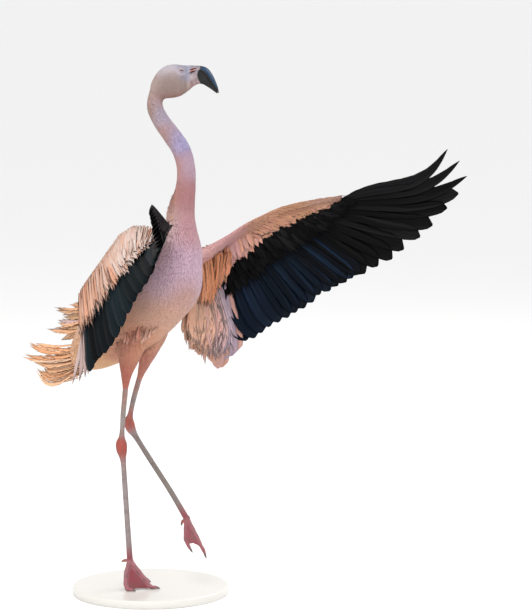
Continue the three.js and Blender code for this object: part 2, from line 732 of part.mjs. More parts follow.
const animal = new THREE.Group();
animal.position.set(ANIMAL_ON_BASE[0], ANIMAL_ON_BASE[1], BASE.thickness + GAP);

animal.add(meshOf("torso", join([torsoCore(0), ...plumes()]), LOOKS.blush));
animal.add(meshOf("neck_lower", neckLower(0), LOOKS.pale));
animal.add(meshOf("neck_upper", trunkPart(TRUNK_CUTS.neckMiddle, TRUNK_CUTS.throat, 9), LOOKS.pale));
animal.add(meshOf("head", head(), LOOKS.pale));
animal.add(meshOf("bill_upper", billHalf("ridge").subtract(nostril(1)).subtract(nostril(-1)), LOOKS.bill));
animal.add(meshOf("bill_lower", billHalf("keel"), LOOKS.bill));
animal.add(meshOf("tail", tail().subtract(bodyClearance), LOOKS.blush));

for (const [side, sign] of [["left", 1], ["right", -1]]) {
  const leg = LEGS[side];
  const { knee, ankleTop, ankleFoot } = LEG_CUTS;
  const thigh = limb(leg, { to: knee, sides: 14, cuts: [false, true] }).subtract(bodyClearance);
  const shank = limb(leg, { from: knee, to: ankleTop, cuts: [true, true] });
  const ankle = limb(leg, { from: ankleTop, to: ankleFoot, cuts: [true, true] });
  const tarsus = limb(leg, { from: ankleFoot, cuts: [true, false] }).subtract(ball(FEET[side].knob, GAP));
  animal.add(meshOf("eye_" + side, eyeball(sign), LOOKS.eye));
  animal.add(meshOf("thigh_" + side, thigh, LOOKS.rose));
  animal.add(meshOf("shank_" + side, shank, LOOKS.bareLeg));
  animal.add(meshOf("ankle_" + side, ankle, LOOKS.joint));
  animal.add(meshOf("tarsus_" + side, tarsus, LOOKS.bareLeg));
  animal.add(meshOf("foot_" + side, foot(FEET[side]).subtract(underground()), LOOKS.joint));
  animal.add(meshOf("wing_" + side, wing(WINGS[side], sign).subtract(bodyClearance), LOOKS.flight));
}

const flamingo = new THREE.Group();
flamingo.add(meshOf("stand_base", base(), LOOKS.stand));
flamingo.add(animal);

export default flamingo;
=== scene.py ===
# %% [markdown]
# # A Chilean flamingo as a life-size display model
# The bird is caught in mid-stride with its wings raised. Its solids are packed as the fixed frame, and this
# script dresses them: a skin, every feather as thin solid mesh, the bill, the eyes, the scaly legs and the
# base. All lengths are metres, +Z is up, and the origin is the middle of the base's underside. The tables
# give the solids' sizes in millimetres from the ground under the planted foot. `metres` brings them into the
# frame.

# %% Load the frame
import json
import math

import bmesh
import bpy
import numpy as np
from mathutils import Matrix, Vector
from mathutils.bvhtree import BVHTree
from mathutils.kdtree import KDTree

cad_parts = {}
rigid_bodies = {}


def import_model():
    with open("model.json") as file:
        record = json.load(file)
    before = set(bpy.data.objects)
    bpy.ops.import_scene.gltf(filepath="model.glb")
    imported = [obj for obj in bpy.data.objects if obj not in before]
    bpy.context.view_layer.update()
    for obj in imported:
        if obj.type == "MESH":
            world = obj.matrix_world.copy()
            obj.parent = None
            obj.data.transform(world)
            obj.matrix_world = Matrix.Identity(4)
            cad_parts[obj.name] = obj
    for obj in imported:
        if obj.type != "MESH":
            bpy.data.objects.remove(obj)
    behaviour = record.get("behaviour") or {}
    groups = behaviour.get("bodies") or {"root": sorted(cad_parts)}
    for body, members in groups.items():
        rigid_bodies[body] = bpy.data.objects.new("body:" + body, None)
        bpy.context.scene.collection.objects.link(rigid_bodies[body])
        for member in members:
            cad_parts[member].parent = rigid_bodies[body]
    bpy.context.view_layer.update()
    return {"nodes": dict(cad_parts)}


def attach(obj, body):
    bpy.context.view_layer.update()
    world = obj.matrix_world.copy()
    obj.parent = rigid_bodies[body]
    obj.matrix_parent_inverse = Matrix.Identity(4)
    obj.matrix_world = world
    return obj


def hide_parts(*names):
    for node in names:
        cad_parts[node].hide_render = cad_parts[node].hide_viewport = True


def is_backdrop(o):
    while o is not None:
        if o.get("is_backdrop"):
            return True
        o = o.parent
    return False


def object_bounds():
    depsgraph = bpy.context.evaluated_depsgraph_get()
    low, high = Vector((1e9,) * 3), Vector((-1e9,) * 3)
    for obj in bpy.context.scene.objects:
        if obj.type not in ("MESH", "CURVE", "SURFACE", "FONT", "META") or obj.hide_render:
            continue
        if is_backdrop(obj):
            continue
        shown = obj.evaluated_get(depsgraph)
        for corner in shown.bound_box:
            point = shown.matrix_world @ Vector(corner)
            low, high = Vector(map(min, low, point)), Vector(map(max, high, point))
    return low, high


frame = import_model()
scene = bpy.context.scene
draw = np.random.default_rng(7)
print("frame:", len(frame["nodes"]), "nodes")

# %% [markdown]
# The camera comes early, so that every later cell can be looked at. It stands 6.5 m away, a little above
# the bird's back, and looks down by 7 degrees through a long lens, which keeps the proportions flat.

# %% Camera
LOOK_AT = Vector((0.253, 0.040, 0.6277))
LOOK_DOWN = math.radians(7)
DISTANCE = 6.5
SENSOR_HEIGHT, LENS = 36, 175.4  # in mm

camera = bpy.data.objects.new("camera", bpy.data.cameras.new("camera"))
scene.collection.objects.link(camera)
camera.data.sensor_fit = "VERTICAL"
camera.data.sensor_height = SENSOR_HEIGHT
camera.data.lens = LENS
camera.location = LOOK_AT - DISTANCE * Vector((0, math.cos(LOOK_DOWN), -math.sin(LOOK_DOWN)))
camera.rotation_euler = (math.radians(90) - LOOK_DOWN, 0, 0)
scene.camera = camera
print("camera at", [round(v, 3) for v in camera.location])

# %% [markdown]
# Everything on a bird follows smooth lines: the spine, a leg, the edge of a wing. `along` reads such a line
# through a few rows, at places counted in rows, so place 2.5 lies halfway between the third and the fourth.
# Extra columns, such as a radius, are read by the same curve.

# %% Smooth lines through a few rows
MM = 0.001
GROUND = np.array([0, 0.040, 0.0183])


def metres(rows):
    """Rows of millimetres from the ground under the planted foot, as metres in the frame."""
    made = np.array(rows, float) * MM
    made[..., :3] += GROUND
    return made


def along(rows, places):
    """The smooth curve through the rows, at places counted in rows."""
    rows = np.asarray(rows, float)
    places = np.atleast_1d(np.asarray(places, float))
    ends = np.vstack([2 * rows[0] - rows[1], rows, 2 * rows[-1] - rows[-2]])
    low = np.clip(np.floor(places).astype(int), 0, len(rows) - 2)
    share = (places - low)[:, None]
    before, start, end, after = (ends[low + step] for step in range(4))

    def knot(a, b):
        return np.maximum(np.linalg.norm((b - a)[:, :3], axis=1) ** 0.5, 1e-5)[:, None]

    d0, d1, d2 = knot(before, start), knot(start, end), knot(end, after)
    leave = ((start - before) / d0 - (end - before) / (d0 + d1) + (end - start) / d1) * d1
    arrive = ((end - start) / d1 - (after - start) / (d1 + d2) + (after - end) / d2) * d1
    square, cube = 3 * (end - start) - 2 * leave - arrive, 2 * (start - end) + leave + arrive
    return start + leave * share + square * share**2 + cube * share**3


def heading(rows, places):
    """The unit direction of the curve at each place."""
    places = np.atleast_1d(np.asarray(places, float))
    top = len(rows) - 1
    ahead = along(rows, np.minimum(places + 0.02, top))
    behind = along(rows, np.maximum(places - 0.02, 0))
    return unit((ahead - behind)[:, :3])


def unit(vectors):
    """The same directions, all one long."""
    return vectors / np.maximum(np.linalg.norm(vectors, axis=-1, keepdims=True), 1e-9)


print("halfway along a line of 10:", along([[0, 0, 0], [0, 0, 10]], 0.5)[0])

# %% [markdown]
# Bodies and limbs are skinned over rings of points. `tube` joins the rings with quads, closes both ends with
# a fan, and turns the faces outwards at once.

# %% Rings to a closed mesh
def link_object(name, data):
    """A new object in the scene that holds the data."""
    made = bpy.data.objects.new(name, data)
    scene.collection.objects.link(made)
    return made


def make_object(name, points, faces):
    mesh = bpy.data.meshes.new(name)
    mesh.from_pydata(np.asarray(points).tolist(), [], faces)
    mesh.update()
    return link_object(name, mesh)


def tube_faces(ring_count, sides, first=0):
    """The faces of a closed tube whose points are its rings and then its two end points."""
    faces = []
    for ring in range(ring_count - 1):
        for side in range(sides):
            here = first + ring * sides + side
            beside = first + ring * sides + (side + 1) % sides
            faces.append((here, beside, beside + sides, here + sides))
    start_point = first + ring_count * sides
    last = first + (ring_count - 1) * sides
    for side in range(sides):
        beside = (side + 1) % sides
        faces.append((start_point, first + beside, first + side))
        faces.append((start_point + 1, last + side, last + beside))
    return faces


def tube(name, rings):
    """A closed object over rings that have equally many points."""
    rings = np.asarray(rings)
    points = np.vstack([rings.reshape(-1, 3), rings[0].mean(0), rings[-1].mean(0)])
    made = make_object(name, points, tube_faces(len(rings), rings.shape[1]))
    face_outwards(made)
    return made


def face_outwards(made):
    work = bmesh.new()
    work.from_mesh(made.data)
    bmesh.ops.recalc_face_normals(work, faces=work.faces)
    work.to_mesh(made.data)
    work.free()


def smooth_shade(made):
    made.data.polygons.foreach_set("use_smooth", [True] * len(made.data.polygons))


def circle(count):
    """The angles of that many points, evenly round a circle."""
    return np.linspace(0, 2 * np.pi, count, endpoint=False)


def round_rings(centres, forward, aside, radii, sides, flat=1.0):
    """Rings round a line, turned with it, from one steady sideways direction."""
    across = unit(aside - (aside * forward).sum(-1, keepdims=True) * forward)
    over = np.cross(forward, across)
    angle = circle(sides)[None, :, None]
    radii = np.asarray(radii)[:, None, None]
    return centres[:, None] + radii * (
        np.cos(angle) * across[:, None] + flat * np.sin(angle) * over[:, None]
    )


def limb(name, rows, places, radii, sides):
    """A round limb along the rows, with one radius for each place."""
    line = along(rows, places)[:, :3]
    return tube(name, round_rings(line, heading(rows, places), BODY_LEFT, radii, sides))


def triangles(made):
    return sum(len(face.vertices) - 2 for face in made.data.polygons)


BODY_LEFT = np.array([1.0, 1.0, 0.0]) / math.sqrt(2)
print("the body's left:", BODY_LEFT.round(2))

# %% [markdown]
# Living forms have no seams, so pieces that overlap are joined and melted into one surface by a voxel
# remesh, and a Smooth modifier eases out the steps that the voxels leave. Modifiers are always turned into a
# plain mesh.

# %% Joining and melting
def apply_modifiers(made, name):
    """A plain mesh object in place of one with modifiers."""
    seen = made.evaluated_get(bpy.context.evaluated_depsgraph_get())
    mesh = bpy.data.meshes.new_from_object(seen)
    bpy.data.objects.remove(made)
    mesh.name = name
    return link_object(name, mesh)


def join(name, parts):
    """Several mesh objects as one."""
    work = bmesh.new()
    for part in parts:
        work.from_mesh(part.data)
    mesh = bpy.data.meshes.new(name)
    work.to_mesh(mesh)
    work.free()
    for part in parts:
        bpy.data.objects.remove(part)
    return link_object(name, mesh)


def melt(made, name, voxel, rounds):
    """One smooth surface in place of closed shapes that overlap."""
    remesh = made.modifiers.new("melt", "REMESH")
    remesh.mode, remesh.voxel_size = "VOXEL", voxel
    ease = made.modifiers.new("ease", "SMOOTH")
    ease.factor, ease.iterations = 0.5, rounds
    return apply_modifiers(made, name)


def dress(made, look):
    """One finish for the whole piece."""
    made.data.materials.clear()
    made.data.materials.append(look)


print("ready: join, melt and dress")

# %% [markdown]
# Materials and Geometry Nodes are both node trees, so the same two small classes serve both. A `Wire` is a
# socket that can be added, subtracted, multiplied and raised to a power as in a formula. Each operation puts
# one Math node in the tree.

# %% Sockets in formulas
class Wire:
    """An output of a node, for use in formulas."""

    def __init__(self, tree, socket):
        self.tree, self.socket = tree, socket

    def maths(self, operation, *values):
        return self.tree.node("ShaderNodeMath", {"operation": operation}, dict(enumerate(values)))

    def __add__(self, other):
        return self.maths("ADD", self, other)

    def __sub__(self, other):
        return self.maths("SUBTRACT", self, other)

    def __rsub__(self, other):
        return self.maths("SUBTRACT", other, self)

    def __mul__(self, other):
        return self.maths("MULTIPLY", self, other)

    def __pow__(self, other):
        return self.maths("POWER", self, other)

    __radd__ = __add__
    __rmul__ = __mul__

    def sine(self):
        return self.maths("SINE", self)

    def cosine(self):
        return self.maths("COSINE", self)

    def size(self):
        return self.maths("ABSOLUTE", self)

    def sign(self):
        return self.maths("SIGN", self)

    def beside(self, name):
        """Another output of the same node."""
        return Wire(self.tree, self.socket.node.outputs[name])

    def ramp(self, low, high, start=0, end=1):
        """Runs smoothly from start to end while the value runs from low to high."""
        settings = {"interpolation_type": "SMOOTHSTEP"}
        return self.tree.node("ShaderNodeMapRange", settings, [self, low, high, start, end])


print("a wire can do:", ", ".join(name for name in vars(Wire) if "_" not in name))

# %% [markdown]
# Every other node comes from `Tree.node`, which sets it up and gives its sockets wires or plain values.
# Colours are mixed as light, so codes with six hex digits are made linear first.

# %% Trees of nodes
class Tree:
    """A node tree that is written in formulas."""

    def __init__(self, tree):
        self.tree = tree

    def node(self, kind, settings=(), sockets=(), out=0):
        """One node: its settings first, then its sockets by name or number. Returns one output."""
        made = self.tree.nodes.new(kind)
        for name, value in dict(settings).items():
            setattr(made, name, value)
        pairs = sockets.items() if isinstance(sockets, dict) else enumerate(sockets)
        for key, value in pairs:
            if isinstance(value, Wire):
                self.tree.links.new(value.socket, made.inputs[key])
            elif value is not None:
                made.inputs[key].default_value = value
        return Wire(self, made.outputs[out])

    def vector(self, operation, *values):
        """Vector maths. A dot product or a distance comes out as a number."""
        sockets = dict(zip((0, 3) if operation == "SCALE" else (0, 1, 2), values))
        out = 1 if operation in ("DOT_PRODUCT", "DISTANCE") else 0
        return self.node("ShaderNodeVectorMath", {"operation": operation}, sockets, out)

    def scaled(self, vector, number):
        return self.vector("SCALE", vector, number)

    def mix(self, share, first, second, blend="MIX"):
        settings = {"data_type": "RGBA", "blend_type": blend}
        return self.node("ShaderNodeMix", settings, {0: share, 6: first, 7: second}, 2)

    def tone(self, colour, light):
        """A colour made lighter or darker by a number."""
        grey = self.node("ShaderNodeCombineColor", {}, [light, light, light])
        return self.mix(1.0, colour, grey, "MULTIPLY")

    def split(self, vector):
        made = self.node("ShaderNodeSeparateXYZ", {}, [vector])
        return [made.beside(axis) for axis in "XYZ"]


def rgb(code):
    """A colour written as six hex digits, as linear light."""
    shown = [int(code[i : i + 2], 16) / 255 for i in (0, 2, 4)]
    light = [v / 12.92 if v <= 0.04045 else ((v + 0.055) / 1.055) ** 2.4 for v in shown]
    return (*light, 1.0)


print("middle grey, as linear light:", round(rgb("808080")[0], 3))

# %% [markdown]
# A finish is one Principled shader. `finish` makes the material, hands its tree to a small recipe for the
# pattern, and joins what the recipe returns: a colour, a roughness, and a height for the bump.

# %% Finishes
def finish(name, recipe, bump=0.2, bump_reach=0.001, soft=0.0, **fixed):
    """A material. Soft is how far its shading leans from the thin vanes' own faces to the body's."""
    material = bpy.data.materials.new(name)
    material.use_nodes = True
    tree = Tree(material.node_tree)
    shader = material.node_tree.nodes["Principled BSDF"]
    for socket, value in fixed.items():
        shader.inputs[socket.replace("_", " ")].default_value = value
    made = recipe(tree)
    for socket in ("Base Color", "Roughness"):
        if socket in made:
            tree.tree.links.new(made[socket].socket, shader.inputs[socket])
    if "height" in made:
        sockets = {"Strength": bump, "Distance": bump_reach, "Height": made["height"]}
        if soft:
            own = tree.node("ShaderNodeNewGeometry", {}, {}, "Normal")
            body = tree.scaled(named(tree, "outward"), soft)
            sockets["Normal"] = tree.vector("NORMALIZE", tree.vector("ADD", own, body))
        normal = tree.node("ShaderNodeBump", {}, sockets)
        tree.tree.links.new(normal.socket, shader.inputs["Normal"])
    return material


def named(tree, name, kind="Vector"):
    """A named attribute of the surface, as a vector, a colour or a number."""
    out = {"Color": 0, "Vector": 1, "Fac": 2}[kind]
    return tree.node("ShaderNodeAttribute", {"attribute_name": name}, {}, out)


def own_place(tree):
    """The place in the object's own coordinates, which are the frame's too."""
    return tree.node("ShaderNodeTexCoord", {}, {}, "Object")


def noise(tree, scale, detail=3, at=None):
    sockets = {"Vector": at or own_place(tree), "Scale": scale, "Detail": detail}
    return tree.node("ShaderNodeTexNoise", {}, sockets)


print("a finish sets the Principled shader by its sockets' names")

# %% [markdown]
# A flamingo's colour comes from its food and lies on it in soft zones: pink on the breast, peach on the
# belly, coral on the thighs, cream over the shoulders. The lavender over the crown and face, the front of
# the neck and the breast is painted skylight, and the throat is a little darker with painted shade. A list
# of named patches with a middle, a reach and a colour is enough, because every spot takes the mean of the
# patches near it. Skin and feathers ask the same function, so they carry the same markings.

# %% Plumage colours by place
PLUMAGE = {
    # Crown, forehead and lores: their lavender tone is painted skylight over the head's grey.
    "crown": ((40, -50, 1138), 22, "c4bac4"),
    "forehead": ((78, -50, 1136), 13, "9a9aac"),
    "nape": ((8, -50, 1100), 20, "b49c94"),
    "right cheek": ((48, -78, 1096), 20, "95827c"),
    "left cheek": ((48, -22, 1096), 20, "95827c"),
    # The throat's darker tone is partly painted shade under the head.
    "throat": ((46, -50, 1062), 18, "9c7162"),
    "right lore": ((84, -68, 1120), 9, "8c8a9c"),
    "left lore": ((84, -32, 1120), 9, "8c8a9c"),
    "high neck, back": ((0, -52, 1045), 16, "9c8076"),
    # The lavender on the front of the neck, in this and the next two front patches, is painted skylight.
    "high neck, front": ((34, -54, 1040), 18, "a096aa"),
    "middle neck, back": ((40, -62, 985), 20, "a8867e"),
    "middle neck, front": ((78, -86, 985), 24, "9a92b6"),
    "long neck, back": ((62, -78, 920), 20, "b6867e"),
    "long neck, front": ((104, -96, 925), 24, "b094a6"),
    "low neck, back": ((66, -70, 865), 24, "b17a6e"),
    "low neck, front": ((102, -112, 860), 28, "a8767a"),
    "mane": ((58, -60, 810), 26, "d8a08c"),
    "throat pouch": ((104, -128, 790), 34, "b4848a"),
    # The lavender of the three breast patches is painted skylight over the breast's pink.
    "breast": ((100, -150, 715), 52, "c2a3b8"),
    "left breast": ((132, -80, 690), 44, "c8acbc"),
    "right breast": ((40, -160, 690), 40, "c6a8b8"),
    "low breast": ((90, -142, 655), 34, "b88c7c"),
    "belly": ((40, -120, 610), 48, "c69a86"),
    "left belly": ((80, -20, 590), 44, "c69c86"),
    "low belly": ((-10, -60, 535), 44, "c88f70"),
    "right flank": ((-70, -60, 560), 44, "c4957a"),
    "left flank": ((40, 70, 600), 50, "c89a80"),
    "thigh ruff": ((-26, -78, 552), 20, "c07262"),
    "right thigh, top": ((-42, -66, 530), 24, "c88072"),
    "right thigh": ((-48, -44, 478), 30, "b4665a"),
    "left thigh, top": ((12, 20, 540), 26, "c08a78"),
    "left thigh": ((-8, 20, 490), 30, "b4766a"),
    "vent": ((-115, 60, 478), 44, "d0a076"),
    "rump": ((-168, 124, 490), 36, "e2a67c"),
    "lower back": ((-110, 96, 600), 50, "dfae94"),
    "back": ((-50, 70, 690), 60, "dcc0b6"),
    "shoulders": ((20, 0, 760), 50, "dcc8c6"),
    "left armpit": ((112, -16, 712), 34, "c88f88"),
    "left upper arm": ((166, 66, 742), 40, "c28e8e"),
    "left forearm": ((238, 130, 782), 46, "b98870"),
    "left wrist": ((300, 142, 806), 44, "ad7f60"),
    "left hand": ((376, 146, 826), 46, "a98374"),
    "left finger": ((436, 150, 838), 30, "6a4c44"),
    "right shoulder": ((0, -80, 770), 46, "d4c0ba"),
    "right upper arm": ((-72, -80, 732), 44, "cf9f88"),
    "right elbow": ((-128, -86, 668), 42, "c88d70"),
    "right forearm": ((-44, -118, 756), 34, "e2d2ca"),
    "right wrist": ((24, -156, 778), 11, "2a2626"),
    "right hand": ((48, -196, 796), 26, "141416"),
}
patch_middles = metres([spot for spot, reach, code in PLUMAGE.values()])
patch_reaches = np.array([reach for spot, reach, code in PLUMAGE.values()]) * MM
patch_colours = np.array([rgb(code)[:3] for spot, reach, code in PLUMAGE.values()])


def marking(points):
    """The plumage colour at each point."""
    apart = np.linalg.norm(points[:, None] - patch_middles[None], axis=2) / patch_reaches
    share = np.exp(-1.5 * apart**1.3)
    return share @ patch_colours / share.sum(1, keepdims=True)


def plain(count, code):
    """One colour for that many points."""
    return np.tile(rgb(code)[:3], (count, 1))


def paint(colour, share, code):
    """The points' colours, with a share of another colour laid over each."""
    return colour + np.clip(share, 0, 1)[:, None] * (np.array(rgb(code)[:3]) - colour)


print("plumage:", len(PLUMAGE), "patches")

# %% [markdown]
# Colours, regions and the lie of the feathers are attributes: a value for every point of a mesh, which
# Geometry Nodes and materials read by name. Blender hands such lists over quickly as flat arrays.

# %% Points and their attributes
def set_attribute(mesh, name, values):
    """For every point a number or a vector or, under the name `marking`, a colour."""
    values = np.asarray(values, float)
    kind, field = ("FLOAT", "value") if values.ndim == 1 else ("FLOAT_VECTOR", "vector")
    if name == "marking":
        kind, field = "FLOAT_COLOR", "color"
        values = np.hstack([values, np.ones((len(values), 1))])
    layer = mesh.attributes.get(name) or mesh.attributes.new(name, kind, "POINT")
    layer.data.foreach_set(field, values.astype(np.float32).ravel())


def mesh_points(mesh):
    flat = np.empty(len(mesh.vertices) * 3, np.float32)
    mesh.vertices.foreach_get("co", flat)
    return flat.reshape(-1, 3).astype(float)


def set_points(mesh, points):
    mesh.vertices.foreach_set("co", np.asarray(points, np.float32).ravel())
    mesh.update()


def ramp(low, high, values):
    """0 below low, 1 above high, smooth between, as the wires' own ramp."""
    step = np.clip((values - low) / (high - low), 0, 1)
    return step * step * (3 - 2 * step)


print("halfway between 2 and 4:", ramp(2, 4, 3))

# %% [markdown]
# The trunk and neck are one long loft. Each row has the middle of a cross section, its half width, its depth
# towards the back and the belly, and the way that its front faces. The skin lies inside the solids by the
# depth of the coat: up to 5 mm on the body and 2 mm on the head. The sleek breast has the least.

# %% Sizes of trunk, neck and head
TRUNK = metres([
    [-172, 126, 462, 10, 9, 10], [-151, 105, 487, 42, 36, 44], [-113, 72, 525, 68, 60, 70],
    [-55, 20, 587, 86, 86, 94], [2, -35, 649, 88, 80, 100], [45, -78, 701, 76, 60, 90],
    [72, -98, 747, 48, 43, 46], [78, -99, 783, 33, 47, 29], [80, -97, 812, 26, 47, 22],
    [83, -95, 843, 22, 40, 20], [84, -92, 880, 21, 27, 21], [82, -88, 918, 21, 22, 22],
    [72, -80, 955, 21, 22, 22], [51, -70, 987, 20, 22, 21], [29, -60, 1018, 18, 21.5, 19],
    [16, -53, 1046, 17, 20.5, 18], [18, -50, 1070, 17, 19, 17], [26, -50, 1088, 16, 20, 15],
])
TRUNK_HEADINGS = [-45, -45, -45, -45, -45, -45, -42, -38, -33, -27, -21, -15, -10, -6, -3, 0, 0, 0]
COAT_DEPTH = ([0, 1, 4, 5, 6, 7, 9, 12, 17], [3, 5, 4, 1, 0.5, 2, 2.5, 2, 2])  # at these places, in mm
HEAD_PLANE = -50  # y of the plane that halves the head, in mm
HEAD = np.array([  # x, height of the throat, height of the crown, half width
    [5, 1081, 1093, 6], [10, 1067, 1105, 15], [19, 1061, 1120, 21], [34, 1062, 1133.5, 25.5],
    [52, 1063.5, 1138.8, 27], [69, 1067, 1137.7, 24], [80, 1074, 1136.4, 18.5],
    [87.3, 1080.5, 1135.4, 15.5], [93, 1084, 1134.8, 13.5],
])
EYE = {"at": (71, 1124.2), "radius": 6.2, "outward": 14.6}
LEGS = {
    "right": metres([
        [-20, 0, 612, 28], [-32, -15, 575, 43], [-39, -32, 532, 38], [-45, -40, 498, 27],
        [-50, -45, 466, 16], [-51.5, -48, 442, 9.8], [-53, -50, 424, 6.6], [-57, -55, 380, 5.8],
        [-60, -60.5, 332, 6.5], [-61, -63, 317, 12], [-60, -63.5, 301, 11.5],
        [-57.5, -64, 282, 6.8], [-53.5, -64.5, 220, 6], [-48, -65.5, 130, 6],
        [-43.6, -66, 58, 6.6],
    ]),
    "left": metres([
        [-6, 24, 628, 30], [1, 16, 594, 47], [2, 14, 552, 43], [-4, 17, 516, 29],
        [-13, 20, 482, 17], [-21, 23, 458, 10.5], [-28, 25.5, 436, 6.8], [-38, 28.5, 400, 5.8],
        [-46, 31.5, 363, 6.5], [-48.5, 34, 349, 11], [-45, 33, 335, 11], [-35, 27, 319, 6.8],
        [-4, 0, 275, 6], [47, -43, 204, 6], [80.5, -74, 153, 6.6],
    ]),
}
LEAST_HALF = 0.002  # of a cross section, in metres


def trunk_rings(places, sides, inset):
    """Cross sections of the trunk and neck, made smaller by the inset."""
    rows = along(TRUNK, places)
    forward = heading(TRUNK, places)
    turn = np.radians(np.interp(places, range(len(TRUNK)), TRUNK_HEADINGS))
    left = np.stack([-np.sin(turn), np.cos(turn), 0 * turn], 1)
    left = unit(left - (left * forward).sum(1, keepdims=True) * forward)
    back = np.cross(forward, left)
    angle = circle(sides)
    depth = np.where(np.sin(angle)[None] > 0, rows[:, 4:5], rows[:, 5:6]) - inset[:, None]
    width = rows[:, 3:4] - inset[:, None]
    side_reach = (np.cos(angle)[None] * np.maximum(width, LEAST_HALF))[..., None]
    back_reach = (np.sin(angle)[None] * np.maximum(depth, LEAST_HALF))[..., None]
    return rows[:, None, :3] + side_reach * left[:, None] + back_reach * back[:, None]


places = np.linspace(0, 17, 150)
inset = np.interp(places, *COAT_DEPTH) * MM
trunk_part = tube("trunk", trunk_rings(places, 40, inset))
print("trunk and neck:", triangles(trunk_part), "triangles")

# %% [markdown]
# The skull is a second loft, from the nape to the root of the bill. The thighs are limbs that start deep in
# the trunk. Both overlap the trunk, and the voxel remesh below melts them into one surface.

# %% Skull and thighs
angle = circle(36)
skull_rows = along(HEAD[:, [0, 3, 1, 2]], np.linspace(0, 8, 40))
skull_rings = []
for x, half, low, high in skull_rows:
    coat = 1.6 - 1.2 * np.clip((x - 76) / 11, 0, 1)  # the face is bare, and flush with the bill's root
    height = (high + low) / 2 + np.sin(angle) * ((high - low) / 2 - coat)
    across = np.cos(angle) * (half - coat)
    skull_rings.append(metres(np.stack([0 * angle + x, across + HEAD_PLANE, height], 1)))
skull_part = tube("skull", skull_rings)

thigh_parts = []
for side, rows in LEGS.items():
    places = np.linspace(0.3, 6.4, 40)
    coat = np.interp(places, [0, 4, 6.4], [0.006, 0.004, 0.001])
    radii = np.interp(places, range(len(rows)), rows[:, 3])
    thigh_parts.append(limb("thigh " + side, rows, places, radii - coat, 24))
print("skull:", triangles(skull_part), "triangles, and", len(thigh_parts), "thighs")

# %% [markdown]
# Each wing has a leading edge and a line where its long feathers root, from the shoulder (place 0) by the
# elbow (2) and the wrist (5) to the finger tip (7). Between the two lies a thin body of skin, muscle and
# bone. The bird's left wing is spread and shows its underside; the right one is half folded, with the hand
# pointing at the viewer.

# %% The two wings' lines
WINGS = {
    "left": {
        "lead": metres([
            [80, -74, 720], [134, -12, 743], [172, 42, 761], [212, 90, 784], [252, 123, 801],
            [286, 138, 814], [360, 144, 831], [440, 150, 842],
        ]),
        "rear": metres([
            [62, -44, 676], [112, 40, 682], [141, 140, 680], [190, 150, 714], [243, 145, 752],
            [298, 142, 782], [368, 146, 803], [431, 150, 827],
        ]),
        "face": np.array([
            [-0.6, 0.55, 0.55], [-0.6, 0.6, 0.5], [-0.4, 0.85, 0.35], [-0.15, 1, 0.15],
            [0, 1, 0], [0, 1, 0], [0, 1, 0], [0, 1, 0],
        ]),
        "primaries": metres([
            [473, 148, 665], [503, 150, 680], [532, 152, 697], [561, 154, 717], [596, 156, 745],
            [623, 158, 771], [658, 160, 809], [681, 162, 841], [699, 163, 880], [686, 164, 915],
            [658, 165, 941],
        ]),
        "secondaries": metres([
            [209, 125, 514], [249, 128, 537], [295, 132, 564], [338, 136, 589], [381, 140, 621],
            [426, 144, 643], [462, 147, 663],
        ]),
        "tertials": metres([
            [80, 12, 532], [102, 25, 502], [122, 45, 492], [138, 65, 474], [152, 85, 460],
            [168, 100, 480], [188, 115, 494],
        ]),
        "sign": 1, "sickle": 0.14, "hand width": 1, "from": 0.3,
    },
    "right": {
        "lead": metres([
            [48, -80, 768], [-4, -86, 778], [-60, -88, 757], [-52, -106, 767], [-20, -132, 787],
            [37, -167, 786], [50, -196, 796], [60, -218, 812],
        ]),
        "rear": metres([
            [-18, -58, 655], [-104, -72, 646], [-142, -88, 632], [-107, -108, 690],
            [-61, -127, 734], [24, -166, 772], [38, -194, 789], [50, -218, 806],
        ]),
        "face": np.array([
            [-0.5, -0.4, 0.7], [-0.6, -0.5, 0.6], [-0.7, -0.6, 0.4], [-0.7, -0.6, 0.45],
            [-0.7, -0.45, 0.55], [-0.72, 0.05, 0.68], [-0.7, 0.15, 0.7], [-0.68, 0.2, 0.72],
        ]),
        "primaries": metres([
            [42, -352, 783], [40, -372, 791], [38, -395, 804], [35, -420, 819], [32, -446, 834],
            [30, -470, 848], [28, -487, 861], [24, -500, 876],
        ]),
        "secondaries": metres([
            [-123, -150, 488], [-104, -165, 514], [-82, -185, 540], [-60, -210, 574],
            [-35, -238, 626], [-10, -262, 667], [12, -290, 702], [26, -325, 743], [37, -355, 771],
        ]),
        "tertials": metres([
            [-168, 30, 470], [-174, 10, 440], [-163, -18, 445], [-152, -45, 452],
            [-143, -75, 460], [-132, -105, 472], [-128, -130, 480],
        ]),
        "sign": -1, "sickle": 0, "hand width": 0.7, "from": 2,
    },
}
UPPER_ARM = metres([
    [2, -70, 750, 34], [-46, -60, 724, 37], [-86, -62, 690, 33], [-116, -73, 648, 29],
    [-136, -82, 604, 18],
])
print("wing lines:", ", ".join(name for name, rows in WINGS["left"].items() if np.ndim(rows)))

# %% [markdown]
# The flesh of a wing is a flat loft: thick behind its leading edge, thin at the roots of the long feathers.
# The folded wing's upper arm is a limb of its own, because it is as thick as it is wide.

# %% Flesh of the wings
WING_THICK = np.array([13, 11, 10, 9, 8.5, 8, 6, 3]) * MM
WING_SECTION = np.array([[0, 0.25, 0], [0.16, 1, 0], [0.5, 0.85, 0], [0.86, 0.6, 0], [1, 0.4, 0]])
WING_COAT, THINNEST_WING, ARM_COAT = 0.0015, 0.0035, 0.008
WING_END = 6.8  # the flesh stops just before the last feather's root


def wing_frame(wing, places):
    """Leading edge, feather line, outward face and half thickness at each place."""
    places = np.atleast_1d(places)
    lead, rear = along(wing["lead"], places), along(wing["rear"], places)
    face = unit(along(wing["face"], places))
    return lead, rear, face, np.interp(places, range(8), WING_THICK)


